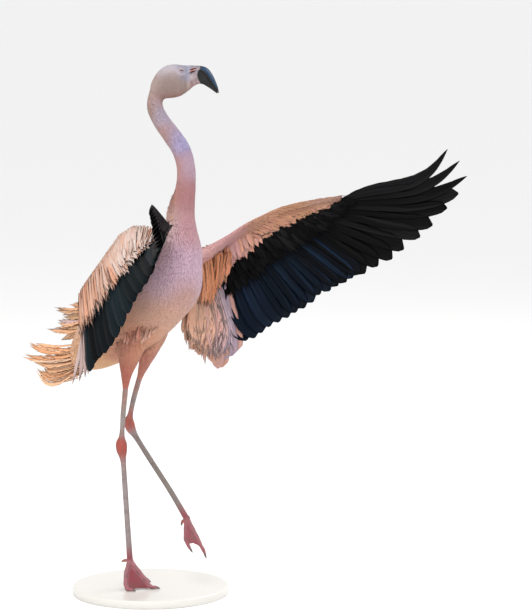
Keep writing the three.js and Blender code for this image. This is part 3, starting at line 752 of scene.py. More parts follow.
wing_parts = []
for side, wing in WINGS.items():
    lead, rear, face, thick = wing_frame(wing, np.linspace(wing["from"], WING_END, 60))
    section = along(WING_SECTION, np.linspace(0, 4, 11))
    thick = np.maximum(thick - WING_COAT, THINNEST_WING)[:, None, None]
    middle = lead[:, None] + section[None, :, :1] * (rear - lead)[:, None]
    above = section[None, :, 1:2] * thick * face[:, None]
    rings = np.concatenate([middle + above, (middle - above)[:, ::-1]], 1)
    wing_parts.append(tube("wing flesh " + side, rings))
places = np.linspace(0, 4, 30)
wing_parts.append(limb("upper arm", UPPER_ARM, places, along(UPPER_ARM, places)[:, 3] - ARM_COAT, 24))
print("wings:", len(wing_parts), "pieces of flesh")

# %% [markdown]
# A voxel remesh turns the overlapping pieces into one closed skin with even faces. The head's faces are
# divided once more, because a face needs finer forms.

# %% One skin
SKIN_VOXEL = 0.0034
HEAD_FROM = {"height": 1.076, "x": -0.02}
skin = join("skin", [trunk_part, skull_part, *thigh_parts, *wing_parts])
skin = melt(skin, "skin", SKIN_VOXEL, rounds=6)

work = bmesh.new()
work.from_mesh(skin.data)
in_head = [
    edge for edge in work.edges
    if min(v.co.z for v in edge.verts) > HEAD_FROM["height"] and edge.verts[0].co.x > HEAD_FROM["x"]
]
bmesh.ops.subdivide_edges(work, edges=in_head, cuts=1, use_grid_fill=True, smooth=0.6)
bmesh.ops.triangulate(work, faces=[f for f in work.faces if len(f.verts) > 4])
work.to_mesh(skin.data)
work.free()
smooth_shade(skin)
print("skin:", triangles(skin), "triangles")

# %% [markdown]
# Feathers lie along the body from the bill to the tail, and down the thighs. Every point of the skin looks
# up the nearest line, the spine or a thigh, counted in that line's own thickness, and takes its direction.
# On a wing they point from its leading edge backwards. The same search tells which coat grows there.

# %% The lie of the coat
def near_line(points, rows, low, high, count):
    """Each point's distance from a line in the line's own radii, and the heading and place there."""
    places = np.linspace(low, high, count)
    radius = np.interp(places, range(len(rows)), rows[:, 3])
    apart = np.linalg.norm(points[:, None] - along(rows, places)[None, :, :3], axis=2)
    best = (apart / np.maximum(radius, 0.006)).argmin(1)
    nearest = apart[np.arange(len(points)), best]
    return nearest / radius[best], heading(rows, places)[best], places[best]


def wing_near(points, wing):
    """How far each point is from the wing's flesh, and the direction across it."""
    places = np.linspace(wing["from"], WING_END, 60)
    lead, rear, face, thick = wing_frame(wing, places)
    chord, span = rear - lead, heading(wing["lead"], places)
    apart, found = np.full(len(points), 9.0), np.zeros((len(points), 3))
    for i in range(len(places)):
        share = ((points - lead[i]) @ chord[i]) / (chord[i] @ chord[i])
        near = lead[i] + np.clip(share, 0, 1)[:, None] * chord[i]
        gap = np.linalg.norm(points - near, axis=1)
        closer = gap < apart
        apart[closer] = gap[closer]
        behind = ramp(-0.15, 0.4, share[closer])[:, None]
        found[closer] = unit(behind * unit(chord[i]) + (1 - behind) * span[i])
    return apart, found


points = mesh_points(skin.data)
spine_apart, spine_ahead, spine_place = near_line(points, TRUNK, 0, 16.3, 300)
lie = -spine_ahead
thigh = np.zeros(len(points))
for rows in LEGS.values():
    apart, ahead, _ = near_line(points, rows, 2.2, 6.6, 60)
    grows = ramp(0.0, 0.5, spine_apart - apart) * (spine_place < 6)
    thigh = np.maximum(thigh, grows)
    lie = lie + grows[:, None] * (ahead * 1.4 - lie)
head = ramp(1.070, 1.092, points[:, 2]) * (points[:, 2] > 1.0)
backwards = np.array([-0.9, 0, -0.35])
lie = lie + head[:, None] * (backwards - lie)
on_wing = np.zeros(len(points))
for wing in WINGS.values():
    apart, chord = wing_near(points, wing)
    grows = ramp(0.026, 0.016, apart) * ramp(1.1, 1.6, spine_apart)
    on_wing = np.maximum(on_wing, grows)
    lie = lie + grows[:, None] * (chord - lie)
set_attribute(skin.data, "lie", unit(lie))
set_attribute(skin.data, "marking", marking(points))
print("coats: thigh", int(thigh.sum()), "wing", int(on_wing.sum()), "points")

# %% [markdown]
# The export needs one flat map of the skin, on which every tuft gets a tiny patch at its own root. Smart
# projection cuts the skin into islands by the way its faces point. The feathers read this map later.

# %% Unwrap of the skin
bpy.context.view_layer.objects.active = skin
skin.select_set(True)
bpy.ops.object.mode_set(mode="EDIT")
bpy.ops.mesh.select_all(action="SELECT")
bpy.ops.uv.smart_project(angle_limit=math.radians(60), island_margin=0.001)
bpy.ops.object.mode_set(mode="OBJECT")
skin.select_set(False)
skin.data.uv_layers[0].name = "OFBake"

corner_uv = np.empty(len(skin.data.loops) * 2, np.float32)
skin.data.uv_layers["OFBake"].uv.foreach_get("vector", corner_uv)
corner_point = np.empty(len(skin.data.loops), np.int32)
skin.data.loops.foreach_get("vertex_index", corner_point)
skin_uv = np.zeros((len(skin.data.vertices), 2))
skin_uv[corner_point] = corner_uv.reshape(-1, 2)
skin_tree = KDTree(len(skin_uv))
for index, spot in enumerate(mesh_points(skin.data)):
    skin_tree.insert(spot, index)
skin_tree.balance()


def map_near(points):
    """The map position of the skin's point nearest to each point."""
    return np.array([skin_uv[skin_tree.find(spot)[1]] for spot in points])


print("skin unwrapped:", len(corner_uv) // 2, "corners")

# %% [markdown]
# A feather is a stiff shaft with a vane on each side. Small body feathers are a few soft pointed locks that
# overlap, so a tuft of two blades reads better than one broad scale. Large feathers get a true vane with a
# raised shaft and a little camber. Every shape is one long and one wide, and closed. Its own coordinates are
# kept in the attribute `vane`, which later bends it and draws its barbs.

# %% Shapes of feathers
CAMBER, SHAFT, VANE_THICK = 0.12, 0.05, 0.03  # heights over a vane's edge, in widths of the feather


def keep_shape(name, points, faces):
    """A hidden pattern that feathers are copied from, with its own coordinates kept in `vane`."""
    made = make_object(name, points, faces)
    face_outwards(made)
    set_attribute(made.data, "vane", mesh_points(made.data))
    smooth_shade(made)
    made.hide_render = made.hide_viewport = True
    made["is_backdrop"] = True
    return made


def vane_shape(name, outline, columns, lead=0.5, steps=None, nick=0.0):
    """A closed vane. Lead is the share of its width on the leading side of the shaft."""
    shares = np.linspace(0, 1, steps) if steps else np.array([row[0] for row in outline])
    half = np.interp(shares, [row[0] for row in outline], [row[1] for row in outline])
    rim = np.linspace(-1, 1, columns + 1)
    points, faces = [], []
    for row, (share, breadth) in enumerate(zip(shares, half)):
        notch = 1 - nick * (row % 3 == 1) * min(1, 6 * (1 - share))
        side = np.where(rim < 0, rim * (1 - lead), rim * lead) * breadth * notch
        arch = CAMBER * (1 - rim**2) * breadth
        ridge = SHAFT * np.clip(1 - np.abs(rim) * columns / 2, 0, 1) * (1.1 - share)
        top = np.stack([side, 0 * side + share, arch + ridge], 1)
        under = np.stack([side, 0 * side + share, arch - VANE_THICK - 0.5 * ridge], 1)
        points += [*top, *under[1:-1]]
    wide, deep = columns + 1, columns - 1
    stride = wide + deep
    for row in range(len(shares) - 1):
        here, ahead = row * stride, (row + 1) * stride
        for c in range(columns):
            faces.append((here + c, here + c + 1, ahead + c + 1, ahead + c))
        under = [0, *range(wide, wide + deep), columns]
        for a, b in zip(under[:-1], under[1:]):
            faces.append((here + b, here + a, ahead + a, ahead + b))
    for base, turned in ((0, False), ((len(shares) - 1) * stride, True)):
        loop = [base + c for c in range(wide)] + [base + wide + c for c in reversed(range(deep))]
        faces.append(tuple(loop) if turned else tuple(reversed(loop)))
    return keep_shape(name, points, faces)


def lock_shape(name, locks, segments=3):
    """Overlapping pointed blades. Each lock has its start, its sideways lean, length, width and rise."""
    points, faces = [], []
    for start, lean, length, width, rise in locks:
        first = len(points)
        for step in range(segments):
            share = step / segments
            half = width / 2 * (0.5 + 1.1 * share) * (1 - share) ** 0.6 * 1.5
            x, y = lean * share**1.4, start + length * share
            z = rise * share
            points += [(x - half, y, z), (x, y, z + half * 0.09), (x + half, y, z)]
        points.append((lean, start + length, rise))
        for step in range(segments - 1):
            here = first + step * 3
            for a, b in ((0, 1), (1, 2), (2, 0)):
                faces.append((here + a, here + b, here + 3 + b, here + 3 + a))
        tip, last = first + segments * 3, first + (segments - 1) * 3
        faces += [(last + a, last + b, tip) for a, b in ((0, 1), (1, 2), (2, 0))]
        faces.append((first, first + 2, first + 1))
    return keep_shape(name, points, faces)


print("a shape is one long and one wide, with a camber of", CAMBER)

# %% [markdown]
# The outlines are rows of a place along the shaft and a width there. `tuft` and `down` cover the body,
# `fringe` is a plume of five strands, and the others are vanes for coverts and flight feathers.

# %% Outlines and patterns
BROAD = [(0, 0.3), (0.08, 0.62), (0.3, 0.94), (0.86, 1), (0.95, 0.78), (0.985, 0.5), (1, 0.12)]
FINGER = [(0, 0.3), (0.1, 0.62), (0.3, 0.95), (0.5, 1), (0.68, 0.85), (0.83, 0.6), (0.94, 0.33), (1, 0.04)]
COVERT = [(0, 0.4), (0.3, 0.85), (0.7, 1), (0.9, 0.7), (1, 0.12)]
LANCE = [(0, 0.35), (0.3, 0.9), (0.6, 1), (0.85, 0.6), (1, 0.04)]

shapes = {  # a lock's start, sideways lean, length, width and rise
    "tuft": lock_shape("tuft shape", [(0, 0, 1, 0.8, 0.02), (0.04, 0.28, 0.86, 0.5, 0)]),
    "down": lock_shape("down shape", [(0, 0, 1, 0.8, 0.02), (0.05, 0.25, 0.8, 0.6, 0)], segments=2),
    "fringe": lock_shape("fringe shape", [
        (0, 0, 1, 0.56, 0), (0.04, -0.32, 0.84, 0.4, 0.01), (0.06, 0.34, 0.78, 0.4, -0.01),
        (0.16, -0.14, 0.76, 0.36, 0.02), (0.2, 0.18, 0.68, 0.36, -0.02),
    ], segments=5),
    "covert": vane_shape("covert shape", COVERT, 4),
    "lance": vane_shape("lance shape", LANCE, 4),
    "broad": vane_shape("broad shape", BROAD, 8, lead=0.4, steps=26, nick=0.05),
    "primary": vane_shape("primary shape", BROAD, 8, lead=0.3, steps=26, nick=0.04),
    "finger": vane_shape("finger shape", FINGER, 8, lead=0.32, steps=26, nick=0.03),
}
print("shapes:", {name: triangles(made) for name, made in shapes.items()})

# %% [markdown]
# Placing thousands of feathers is work for Geometry Nodes. Both trees below end in the same steps, written
# once in `grow`: put the shape on every point, make it real, and move each of its corners to where the
# point's own vectors say. A feather is a root, a vector along it, one across it and one out of it, and three
# bends: an arch, a sideways swing, and a droop of the tip. The map patch and the material come last.

# %% The steps that both feather trees share
PARTS = ("root", "along", "across", "up", "arch", "swing", "bend")


def read(tree, name, kind="FLOAT_VECTOR"):
    return tree.node("GeometryNodeInputNamedAttribute", {"data_type": kind}, {"Name": name})


def store(tree, geometry, name, value, kind="FLOAT_VECTOR"):
    sockets = {"Geometry": geometry, "Name": name, "Value": value}
    return tree.node("GeometryNodeStoreNamedAttribute", {"data_type": kind}, sockets)


def grow(tree, points, wire, settle):
    """A feather on every point. Settle is the tree's own last step for their corners."""
    shape = tree.node("GeometryNodeObjectInfo", {}, {"Object": wire["Shape"]}, "Geometry")
    placed = tree.node("GeometryNodeInstanceOnPoints", {}, {"Points": points, "Instance": shape})
    real = tree.node("GeometryNodeRealizeInstances", {}, {"Geometry": placed})
    x, y, z = tree.split(read(tree, "vane"))
    shares = {
        "root": None, "across": x, "along": y, "up": z,
        "arch": (y * math.pi).sine(), "swing": (y**1.6 * math.pi).sine(), "bend": y * y,
    }
    place = None
    for name, share in shares.items():
        part = read(tree, name)
        part = part if share is None else tree.scaled(part, share)
        place = part if place is None else tree.vector("ADD", place, part)
    moved = tree.node("GeometryNodeSetPosition", {}, {"Geometry": real, "Position": place})
    moved = settle(moved, y, z)
    corner = tree.vector("MULTIPLY", tree.node("ShaderNodeCombineXYZ", {}, [x, y, 0.0]), wire["Patch"])
    corner = tree.vector("ADD", read(tree, "spot"), corner)
    settings = {"data_type": "FLOAT2", "domain": "CORNER"}
    sockets = {"Geometry": moved, "Name": "OFBake", "Value": corner}
    mapped = tree.node("GeometryNodeStoreNamedAttribute", settings, sockets)
    return tree.node("GeometryNodeSetMaterial", {}, {"Geometry": mapped, "Material": wire["Material"]})


def open_tree(name, inputs):
    """A new Geometry Nodes tree with named inputs, and the wires of those inputs."""
    group = bpy.data.node_groups.new(name, "GeometryNodeTree")
    group.interface.new_socket("Geometry", in_out="INPUT", socket_type="NodeSocketGeometry")
    group.interface.new_socket("Geometry", in_out="OUTPUT", socket_type="NodeSocketGeometry")
    for label, kind in inputs.items():
        group.interface.new_socket(label, in_out="INPUT", socket_type="NodeSocket" + kind)
    tree = Tree(group)
    start = group.nodes.new("NodeGroupInput")
    return tree, {socket.name: Wire(tree, socket) for socket in start.outputs if socket.name}


def close_tree(tree, made):
    end = tree.tree.nodes.new("NodeGroupOutput")
    tree.tree.links.new(made.socket, end.inputs[0])
    return tree.tree


def run_tree(group, base, name, values):
    """The tree's result on a mesh, as a plain mesh object."""
    carrier = link_object("carrier", base)
    modifier = carrier.modifiers.new("feathers", "NODES")
    modifier.node_group = group
    for item in group.interface.items_tree:
        if item.item_type == "SOCKET" and item.in_out == "INPUT" and item.name in values:
            modifier[item.identifier] = values[item.name]
    made = apply_modifiers(carrier, name)
    for spare in (*PARTS, "spot", "lie", "rise", "facing"):
        if spare in made.data.attributes:
            made.data.attributes.remove(made.data.attributes[spare])
    smooth_shade(made)
    return made


print("a feather's parts:", ", ".join(PARTS))

# %% [markdown]
# The coat tree scatters points over the skin at an even spacing, where a region's attribute allows it. Each
# point's feather follows the lie of the coat, turned a little at random, and lifts by a few degrees. Then it
# is combed: each of its corners goes to a set height over the nearest spot of the skin, higher towards the
# tip, so that feathers overlap like tiles and hug every curve. The seed is fixed, so the coat never changes.

# %% The coat tree
def chance(tree, low, high, seed):
    """A random number for each point, always the same one for the same seed."""
    return tree.node("FunctionNodeRandomValue", {"data_type": "FLOAT"}, {2: low, 3: high, 8: seed}, 1)


MOST_FEATHERS = 900000  # on a square metre, before the spacing thins them
FREE_FROM = (0.007, 0.016)  # a corner this far off the skin is combed less, or not at all


def combing(tree, wire):
    """The coat's own last step."""

    def comb(feathers, y, z):
        """Every corner moves to its own height over the nearest spot of the skin."""
        here = tree.node("GeometryNodeInputPosition")
        near = tree.node("GeometryNodeProximity", {}, {0: wire["Geometry"], "Source Position": here})
        gap = tree.vector("DISTANCE", here, near)
        settings = {"data_type": "FLOAT_VECTOR"}
        sockets = {"Mesh": wire["Geometry"], "Value": read(tree, "facing"), "Sample Position": here}
        facing = tree.node("GeometryNodeSampleNearestSurface", settings, sockets)
        height = read(tree, "rise", "FLOAT") * y + z * wire["Width"] - wire["Sink"]
        target = tree.vector("ADD", near, tree.scaled(facing, height))
        hold = gap.ramp(*FREE_FROM, wire["Comb"], 0.0)
        shift = tree.scaled(tree.vector("SUBTRACT", target, here), hold)
        feathers = tree.node("GeometryNodeSetPosition", {}, {"Geometry": feathers, "Offset": shift})
        return store(tree, feathers, "outward", facing)

    return comb


def make_coat_tree():
    tree, wire = open_tree("coat", {
        "Region": "String", "Shape": "Object", "Material": "Material", "Spacing": "Float",
        "Length": "Float", "Width": "Float", "Lift": "Float", "Turn": "Float", "Sink": "Float",
        "Uneven": "Float", "Rise": "Float", "Comb": "Float", "Patch": "Vector", "Seed": "Int",
    })
    region = read(tree, wire["Region"], "FLOAT")
    points = tree.node("GeometryNodeDistributePointsOnFaces", {"distribute_method": "POISSON"}, {
        "Mesh": wire["Geometry"], "Distance Min": wire["Spacing"], "Density Max": MOST_FEATHERS,
        "Density Factor": region, "Seed": wire["Seed"],
    }, "Points")
    points = store(tree, points, "outward", points.beside("Normal"))
    outward = read(tree, "outward")
    lie = read(tree, "lie")
    lean = tree.vector("DOT_PRODUCT", lie, outward)
    flat = tree.vector("NORMALIZE", tree.vector("SUBTRACT", lie, tree.scaled(outward, lean)))
    aside = tree.vector("CROSS_PRODUCT", outward, flat)
    turn = chance(tree, -1.0, 1.0, 11) * wire["Turn"]
    ahead = tree.vector("ADD", tree.scaled(flat, turn.cosine()), tree.scaled(aside, turn.sine()))
    lift = wire["Lift"] * chance(tree, 0.5, 1.5, 12)
    length = wire["Length"] * (1 + wire["Uneven"] * chance(tree, -1.0, 1.0, 13))
    length = length * read(tree, "long", "FLOAT")
    width = wire["Width"] * (1 + wire["Uneven"] * chance(tree, -1.0, 1.0, 14))
    cosine, sine = lift.cosine(), lift.sine()
    rising = tree.vector("ADD", tree.scaled(ahead, cosine), tree.scaled(outward, sine))
    out = tree.vector("SUBTRACT", tree.scaled(outward, cosine), tree.scaled(ahead, sine))
    across = tree.vector("CROSS_PRODUCT", ahead, outward)
    place = tree.node("GeometryNodeInputPosition")
    values = {
        "root": tree.vector("SUBTRACT", place, tree.scaled(outward, wire["Sink"])),
        "along": tree.scaled(rising, length),
        "across": tree.scaled(across, width),
        "up": tree.scaled(out, width),
        "arch": tree.scaled(outward, length * 0.02),
        "swing": tree.scaled(across, length * chance(tree, -0.06, 0.06, 15)),
    }
    for name, value in values.items():
        points = store(tree, points, name, value)
    points = store(tree, points, "chance", chance(tree, 0.0, 1.0, 16), "FLOAT")
    points = store(tree, points, "spot", read(tree, "OFBake"))
    points = store(tree, points, "rise", wire["Rise"] * chance(tree, 0.6, 1.4, 17), "FLOAT")

    return close_tree(tree, grow(tree, points, wire, combing(tree, wire)))


coat_tree = make_coat_tree()
print("coat tree:", len(coat_tree.nodes), "nodes")

# %% [markdown]
# The quill tree is simpler. Its points carry their vectors already, and two inputs can scale them. Both
# faces of a large feather can be seen, so the direction that it shades by turns round underneath.

# %% The quill tree
def make_quill_tree():
    tree, wire = open_tree("quills", {
        "Shape": "Object", "Material": "Material", "Patch": "Vector", "Length": "Float", "Width": "Float",
    })
    points = wire["Geometry"]
    for name, scale in {"along": "Length", "across": "Width", "up": "Width"}.items():
        points = store(tree, points, name, tree.scaled(read(tree, name), wire[scale]))

    def face_both_ways(feathers, y, z):
        """A quill's frame is left-handed, so its faces are flipped."""
        feathers = tree.node("GeometryNodeFlipFaces", {}, {"Mesh": feathers})
        outward = read(tree, "outward")
        side = tree.vector("DOT_PRODUCT", tree.node("GeometryNodeInputNormal"), outward)
        turned = tree.scaled(outward, side.sign())
        return store(tree, feathers, "outward", turned)

    return close_tree(tree, grow(tree, points, wire, face_both_ways))


quill_tree = make_quill_tree()
PATCH = (0.003, 0.003, 0)  # the size of a small feather on the map
print("quill tree:", len(quill_tree.nodes), "nodes")

# %% [markdown]
# Plumage is matt and soft. Its colour is the marking, a little lighter towards the tips and different from
# feather to feather, with fine barbs that run off the shaft at a slant. The barbs are drawn along the
# feather's own coordinates, and a very low bump gives them depth.

# %% Finish of the plumage
FEATHER = {
    "bump": 0.08, "bump_reach": 0.0004, "Roughness": 0.8, "Sheen_Weight": 0.12, "Specular_IOR_Level": 0.25,
}


def plumage_recipe(tint_range=0.06, tip_light=0.12, streak=None, streak_share=0.3, barb_count=20):
    """A recipe for feathers that differ by the tint range. A share of them has the streak's colour."""

    def recipe(tree):
        x, y, z = tree.split(named(tree, "vane"))
        luck = named(tree, "chance", "Fac")
        barbs = (y * (6.28 * barb_count) + x.size() * (3.5 * barb_count)).sine() * 0.5 + 0.5
        clumps = noise(tree, 120, 3)
        colour = named(tree, "marking", "Color")
        if streak:
            colour = tree.mix(luck.ramp(1 - streak_share, 1.0) * 0.75, colour, rgb(streak))
        light = 1 + (luck - 0.5) * (2 * tint_range) + y * tip_light - tip_light / 2
        light = light * (0.97 + 0.03 * barbs) * (0.9 + 0.2 * clumps)
        return {"Base Color": tree.tone(colour, light), "height": barbs}

    return recipe


plumage = finish("soft plumage", plumage_recipe(), soft=2.2, Sheen_Roughness=0.5, **FEATHER)
skin_finish = finish(
    "bare skin", lambda tree: {
        "Base Color": tree.mix(noise(tree, 300) * 0.12, named(tree, "marking", "Color"), rgb("8a5a52")),
        "height": noise(tree, 900, 4),
    }, bump=0.4, bump_reach=0.0008, Roughness=0.6,
)
dress(skin, skin_finish)
print("finishes:", plumage.name, "and", skin_finish.name)

# %% [markdown]
# Each region of the skin gets its own coat. A region is a number per point, from 0 to 1, which the tree
# reads as density. The face stays bare round the eye and the root of the bill, as on the living bird.

# %% Regions and coats
points = mesh_points(skin.data)
spot_x = points[:, 0] / MM
high = points[:, 2] > 1.06
eye_spots = [metres((EYE["at"][0] + 3, HEAD_PLANE + sign * 19, EYE["at"][1] - 1)) for sign in (1, -1)]
to_eye = np.min([np.linalg.norm(points - spot, axis=1) for spot in eye_spots], axis=0)
bare_face = np.maximum(ramp(0.011, 0.007, to_eye), ramp(83, 88, spot_x)) * high
arm_places = np.linspace(0, 4, 40)
arm_line = along(UPPER_ARM, arm_places)
to_arm = np.linalg.norm(points[:, None] - arm_line[None, :, :3], axis=2)
arm_index = to_arm.argmin(1)
on_arm = ramp(0.012, -0.002, to_arm.min(1) - arm_line[arm_index, 3])
on_arm = on_arm * ramp(1.0, 1.2, spine_apart) * (thigh < 0.1)

neck = ramp(7.4, 8.2, spine_place) * (1 - head)
body = (1 - ramp(7.6, 8.4, spine_place)) * (1 - thigh)
clear = np.clip(1 - on_wing - on_arm, 0, 1)
behind = (points - along(TRUNK, spine_place)[:, :3]) @ np.array([-0.6, 0.6, 0.4])
back_side = ramp(-0.01, 0.02, behind)
REGIONS = {
    "head coat": head * (1 - bare_face),
    "neck coat": neck,
    "front coat": body * clear * (1 - back_side),
    "back coat": body * clear * back_side,
    "thigh coat": thigh,
    "arm coat": on_arm,
    "wing coat": on_wing * (1 - on_arm),
    "mane coat": ramp(6.6, 7.6, spine_place) * ramp(10.4, 9.2, spine_place)
    * ramp(0.012, 0.026, behind),
}
for name, share in REGIONS.items():
    set_attribute(skin.data, name, share)
long = 1 - 0.45 * ramp(5.5, 8, spine_place) * (spine_place < 12)
long = long - 0.35 * ramp(70, 86, spot_x) * high
set_attribute(skin.data, "long", np.clip(long, 0.4, 1))
arm_ahead = heading(UPPER_ARM, arm_places)[arm_index]
lie = unit(lie + on_arm[:, None] * (arm_ahead + np.array([0, 0, -0.5]) - lie))
set_attribute(skin.data, "lie", lie)
facing = np.empty(len(points) * 3, np.float32)
skin.data.vertex_normals.foreach_get("vector", facing)
set_attribute(skin.data, "facing", facing.reshape(-1, 3))

scapular = finish(
    "streaked plumage", plumage_recipe(0.06, 0.1, streak="cd9070", barb_count=50), soft=2.2, **FEATHER)
COATS = {  # region: shape, finish, spacing, length, width, lift, sink, turn, rise, comb (lengths in mm)
    "head coat": ("down", plumage, 1.5, 6, 2.6, 3, 0.05, 8, 0.2, 1),
    "neck coat": ("tuft", plumage, 2.5, 12, 4.6, 3, 0.05, 7, 0.24, 1),
    "front coat": ("down", plumage, 2.95, 16, 5.8, 2, 0.05, 6, 0.22, 1),
    "back coat": ("tuft", plumage, 3.8, 24, 7, 2, 0.05, 9, 0.6, 1),
    "thigh coat": ("tuft", plumage, 2.8, 14, 5, 2, 0.05, 8, 0.45, 1),
    "arm coat": ("lance", scapular, 4.2, 36, 8, 2, 0.2, 6, 1.4, 1),
    "wing coat": ("tuft", plumage, 3.0, 16, 6, 2, 0.05, 7, 0.5, 1),
    "mane coat": ("fringe", scapular, 3.4, 27, 7, 9, 0.4, 26, 2.6, 0.5),
}
UNEVEN = 0.2  # how far lengths and widths differ among neighbours
coats = []
for seed, (region, sizes) in enumerate(COATS.items()):
    shape, look, spacing, length, width, lift, sink, turn, rise, comb = sizes
    coats.append(run_tree(coat_tree, skin.data, region.replace(" ", "_"), {
        "Region": region, "Shape": shapes[shape], "Material": look, "Spacing": spacing * MM,
        "Length": length * MM, "Width": width * MM, "Lift": math.radians(lift),
        "Turn": math.radians(turn), "Sink": sink * MM, "Uneven": UNEVEN,
        "Rise": rise * MM, "Comb": float(comb), "Patch": PATCH, "Seed": seed,
    }))
    print(region, triangles(coats[-1]), "triangles")

# %% [markdown]
# The large feathers aren't scattered: each has its own root along the wing and its own tip. `quill` turns a
# root, a tip and the way its back faces into the vectors that the quill tree needs. A feather also turns a
# few degrees round its shaft, so that its edge lies on its neighbour like a roof tile.

# %% One feather by its root and tip
def quill(root, tip, face, width, tilt, bow, sweep, sag=0, *, colour, curl=(0, 0, 0), own=1, blend=0):
    """One feather's vectors. Own is the share of its own colour, blend how soft its shading is."""
    line = tip - root
    length = np.linalg.norm(line)
    flat = unit(np.cross(face, line))
    over = unit(np.cross(line, flat))
    turn = math.radians(tilt)
    across = flat * math.cos(turn) + over * math.sin(turn)
    out = over * math.cos(turn) - flat * math.sin(turn)
    return {
        "root": root, "along": line, "across": across * width, "up": out * width,
        "arch": (over * bow + flat * sag) * length, "swing": flat * sweep * length,
        "bend": length * np.asarray(curl, float), "marking": colour, "own": own, "chance": draw.random(),
        "outward": unit(face) * blend,
    }


def grow_quills(name, shape, look, quills, atlas=0):
    """Runs the quill tree. With an atlas, each feather has its own cell of the map, that many in a row."""
    roots = np.array([q["root"] for q in quills])
    mesh = bpy.data.meshes.new(name + " roots")
    mesh.from_pydata(roots.tolist(), [], [])
    for part in (*PARTS, "outward"):
        set_attribute(mesh, part, [q[part] for q in quills])
    colours = marking(roots)
    for index, q in enumerate(quills):
        colours[index] += q["own"] * (np.array(rgb(q["marking"])[:3]) - colours[index])
    set_attribute(mesh, "marking", colours)
    set_attribute(mesh, "chance", [q["chance"] for q in quills])
    spots, patch = np.zeros((len(quills), 3)), PATCH
    if atlas:
        rows = math.ceil(len(quills) / atlas)
        index = np.arange(len(quills))
        spots[:, 0] = (index % atlas + 0.5) / atlas
        spots[:, 1] = (index // atlas + 0.03) / rows
        patch = (0.9 / atlas, 0.94 / rows, 0)
    else:
        spots[:, :2] = map_near(roots)
    set_attribute(mesh, "spot", spots)
    made = run_tree(quill_tree, mesh, name, {
        "Shape": shapes[shape], "Material": look, "Patch": patch, "Length": 1.0, "Width": 1.0,
    })
    print(name, len(quills), "feathers,", triangles(made), "triangles")
    return made


def pick(codes, share=None):
    """One of the colours: any of them, or one near a share of the list."""
    if share is None:
        return codes[int(draw.integers(len(codes)))]
    return codes[int(np.clip(share * len(codes) + draw.normal(0, 0.5), 0, len(codes) - 1))]


# %% [markdown]
# Flight feathers are black, and the smooth ones of the forearm carry a painted steel blue sheen. Painted
# highlights, pale streaks along each vane and a paler edge, make the row readable. Barbs run off the shaft
# at a steep slant, and the surface is smoother than body plumage, so its roughness is lower.

# %% Finish of the flight feathers
def flight_recipe(tree):
    x, y, z = tree.split(named(tree, "vane"))
    barbs = (y * 800 + x.size() * 200).sine() * 0.5 + 0.5
    luck = named(tree, "chance", "Fac")
    # Painted highlights: pale streaks of sheen along the vane, and a paler edge where light catches each
    # vane's rim.
    painted_glint_streaks = noise(tree, 1.0, 3, at=tree.vector("MULTIPLY", named(tree, "vane"), (17, 1.4, 0)))
    painted_glint_streaks = (painted_glint_streaks + luck * 0.25).ramp(0.55, 0.9)
    edge = x.size().ramp(0.3, 0.5)
    light = (0.6 + 0.5 * luck + 0.05 * barbs) * (1 + 3.4 * painted_glint_streaks + 0.7 * edge)
    return {
        "Base Color": tree.tone(named(tree, "marking", "Color"), light),
        "Roughness": 0.46 + 0.08 * barbs, "height": barbs,
    }


flight_look = finish("flight feathers", flight_recipe, bump=0.06, bump_reach=0.0004, Specular_IOR_Level=0.06)

FLIGHT = {  # how many, the first and last place, and the widths at both ends in mm
    "primaries": (11, 5.05, 6.95, 44, 30),
    "secondaries": (15, 2.1, 4.95, 41, 38),
    "tertials": (11, 0.95, 1.95, 44, 40),
}
SHINGLE, FOLDED_SHINGLE = 8, 6  # how far each feather turns round its shaft, in degrees
HAND = [(0, 0.3), (0.1, 0.62), (0.3, 0.94), (0.6, 1), (0.8, 0.86), (0.93, 0.5), (1, 0.05)]
for shape, outline, lead_share in (("broad", BROAD, 0.6), ("primary", HAND, 0.2), ("finger", HAND, 0.1)):
    shapes[shape + " right"] = vane_shape(
        shape + " shape, right", outline, 8, lead=lead_share, steps=26, nick=0.02)
print("flight feathers: one finish,", len(FLIGHT), "groups")

# %% [markdown]
# The primaries root on the hand, the secondaries on the forearm, and the tertials on the upper arm. Their
# roots follow the wing's rear line and their tips follow a curve of their own. The hand is plain black, the
# forearm's black has a painted blue sheen, and the tertials are long, soft and pink.

# %% Flight feathers
def wing_spot(side, place, across, over=0.0):
    """A point on the wing's flesh: across 0 leads, 1 trails; over 1 is its back, -1 its underside."""
    lead, rear, face, thick = wing_frame(WINGS[side], place)
    return (lead + (rear - lead) * across + face * thick[:, None] * over)[0], face[0]


def flight_tip(side, group, share):
    rows = WINGS[side][group]
    return along(rows, [share * (len(rows) - 1)])[0]
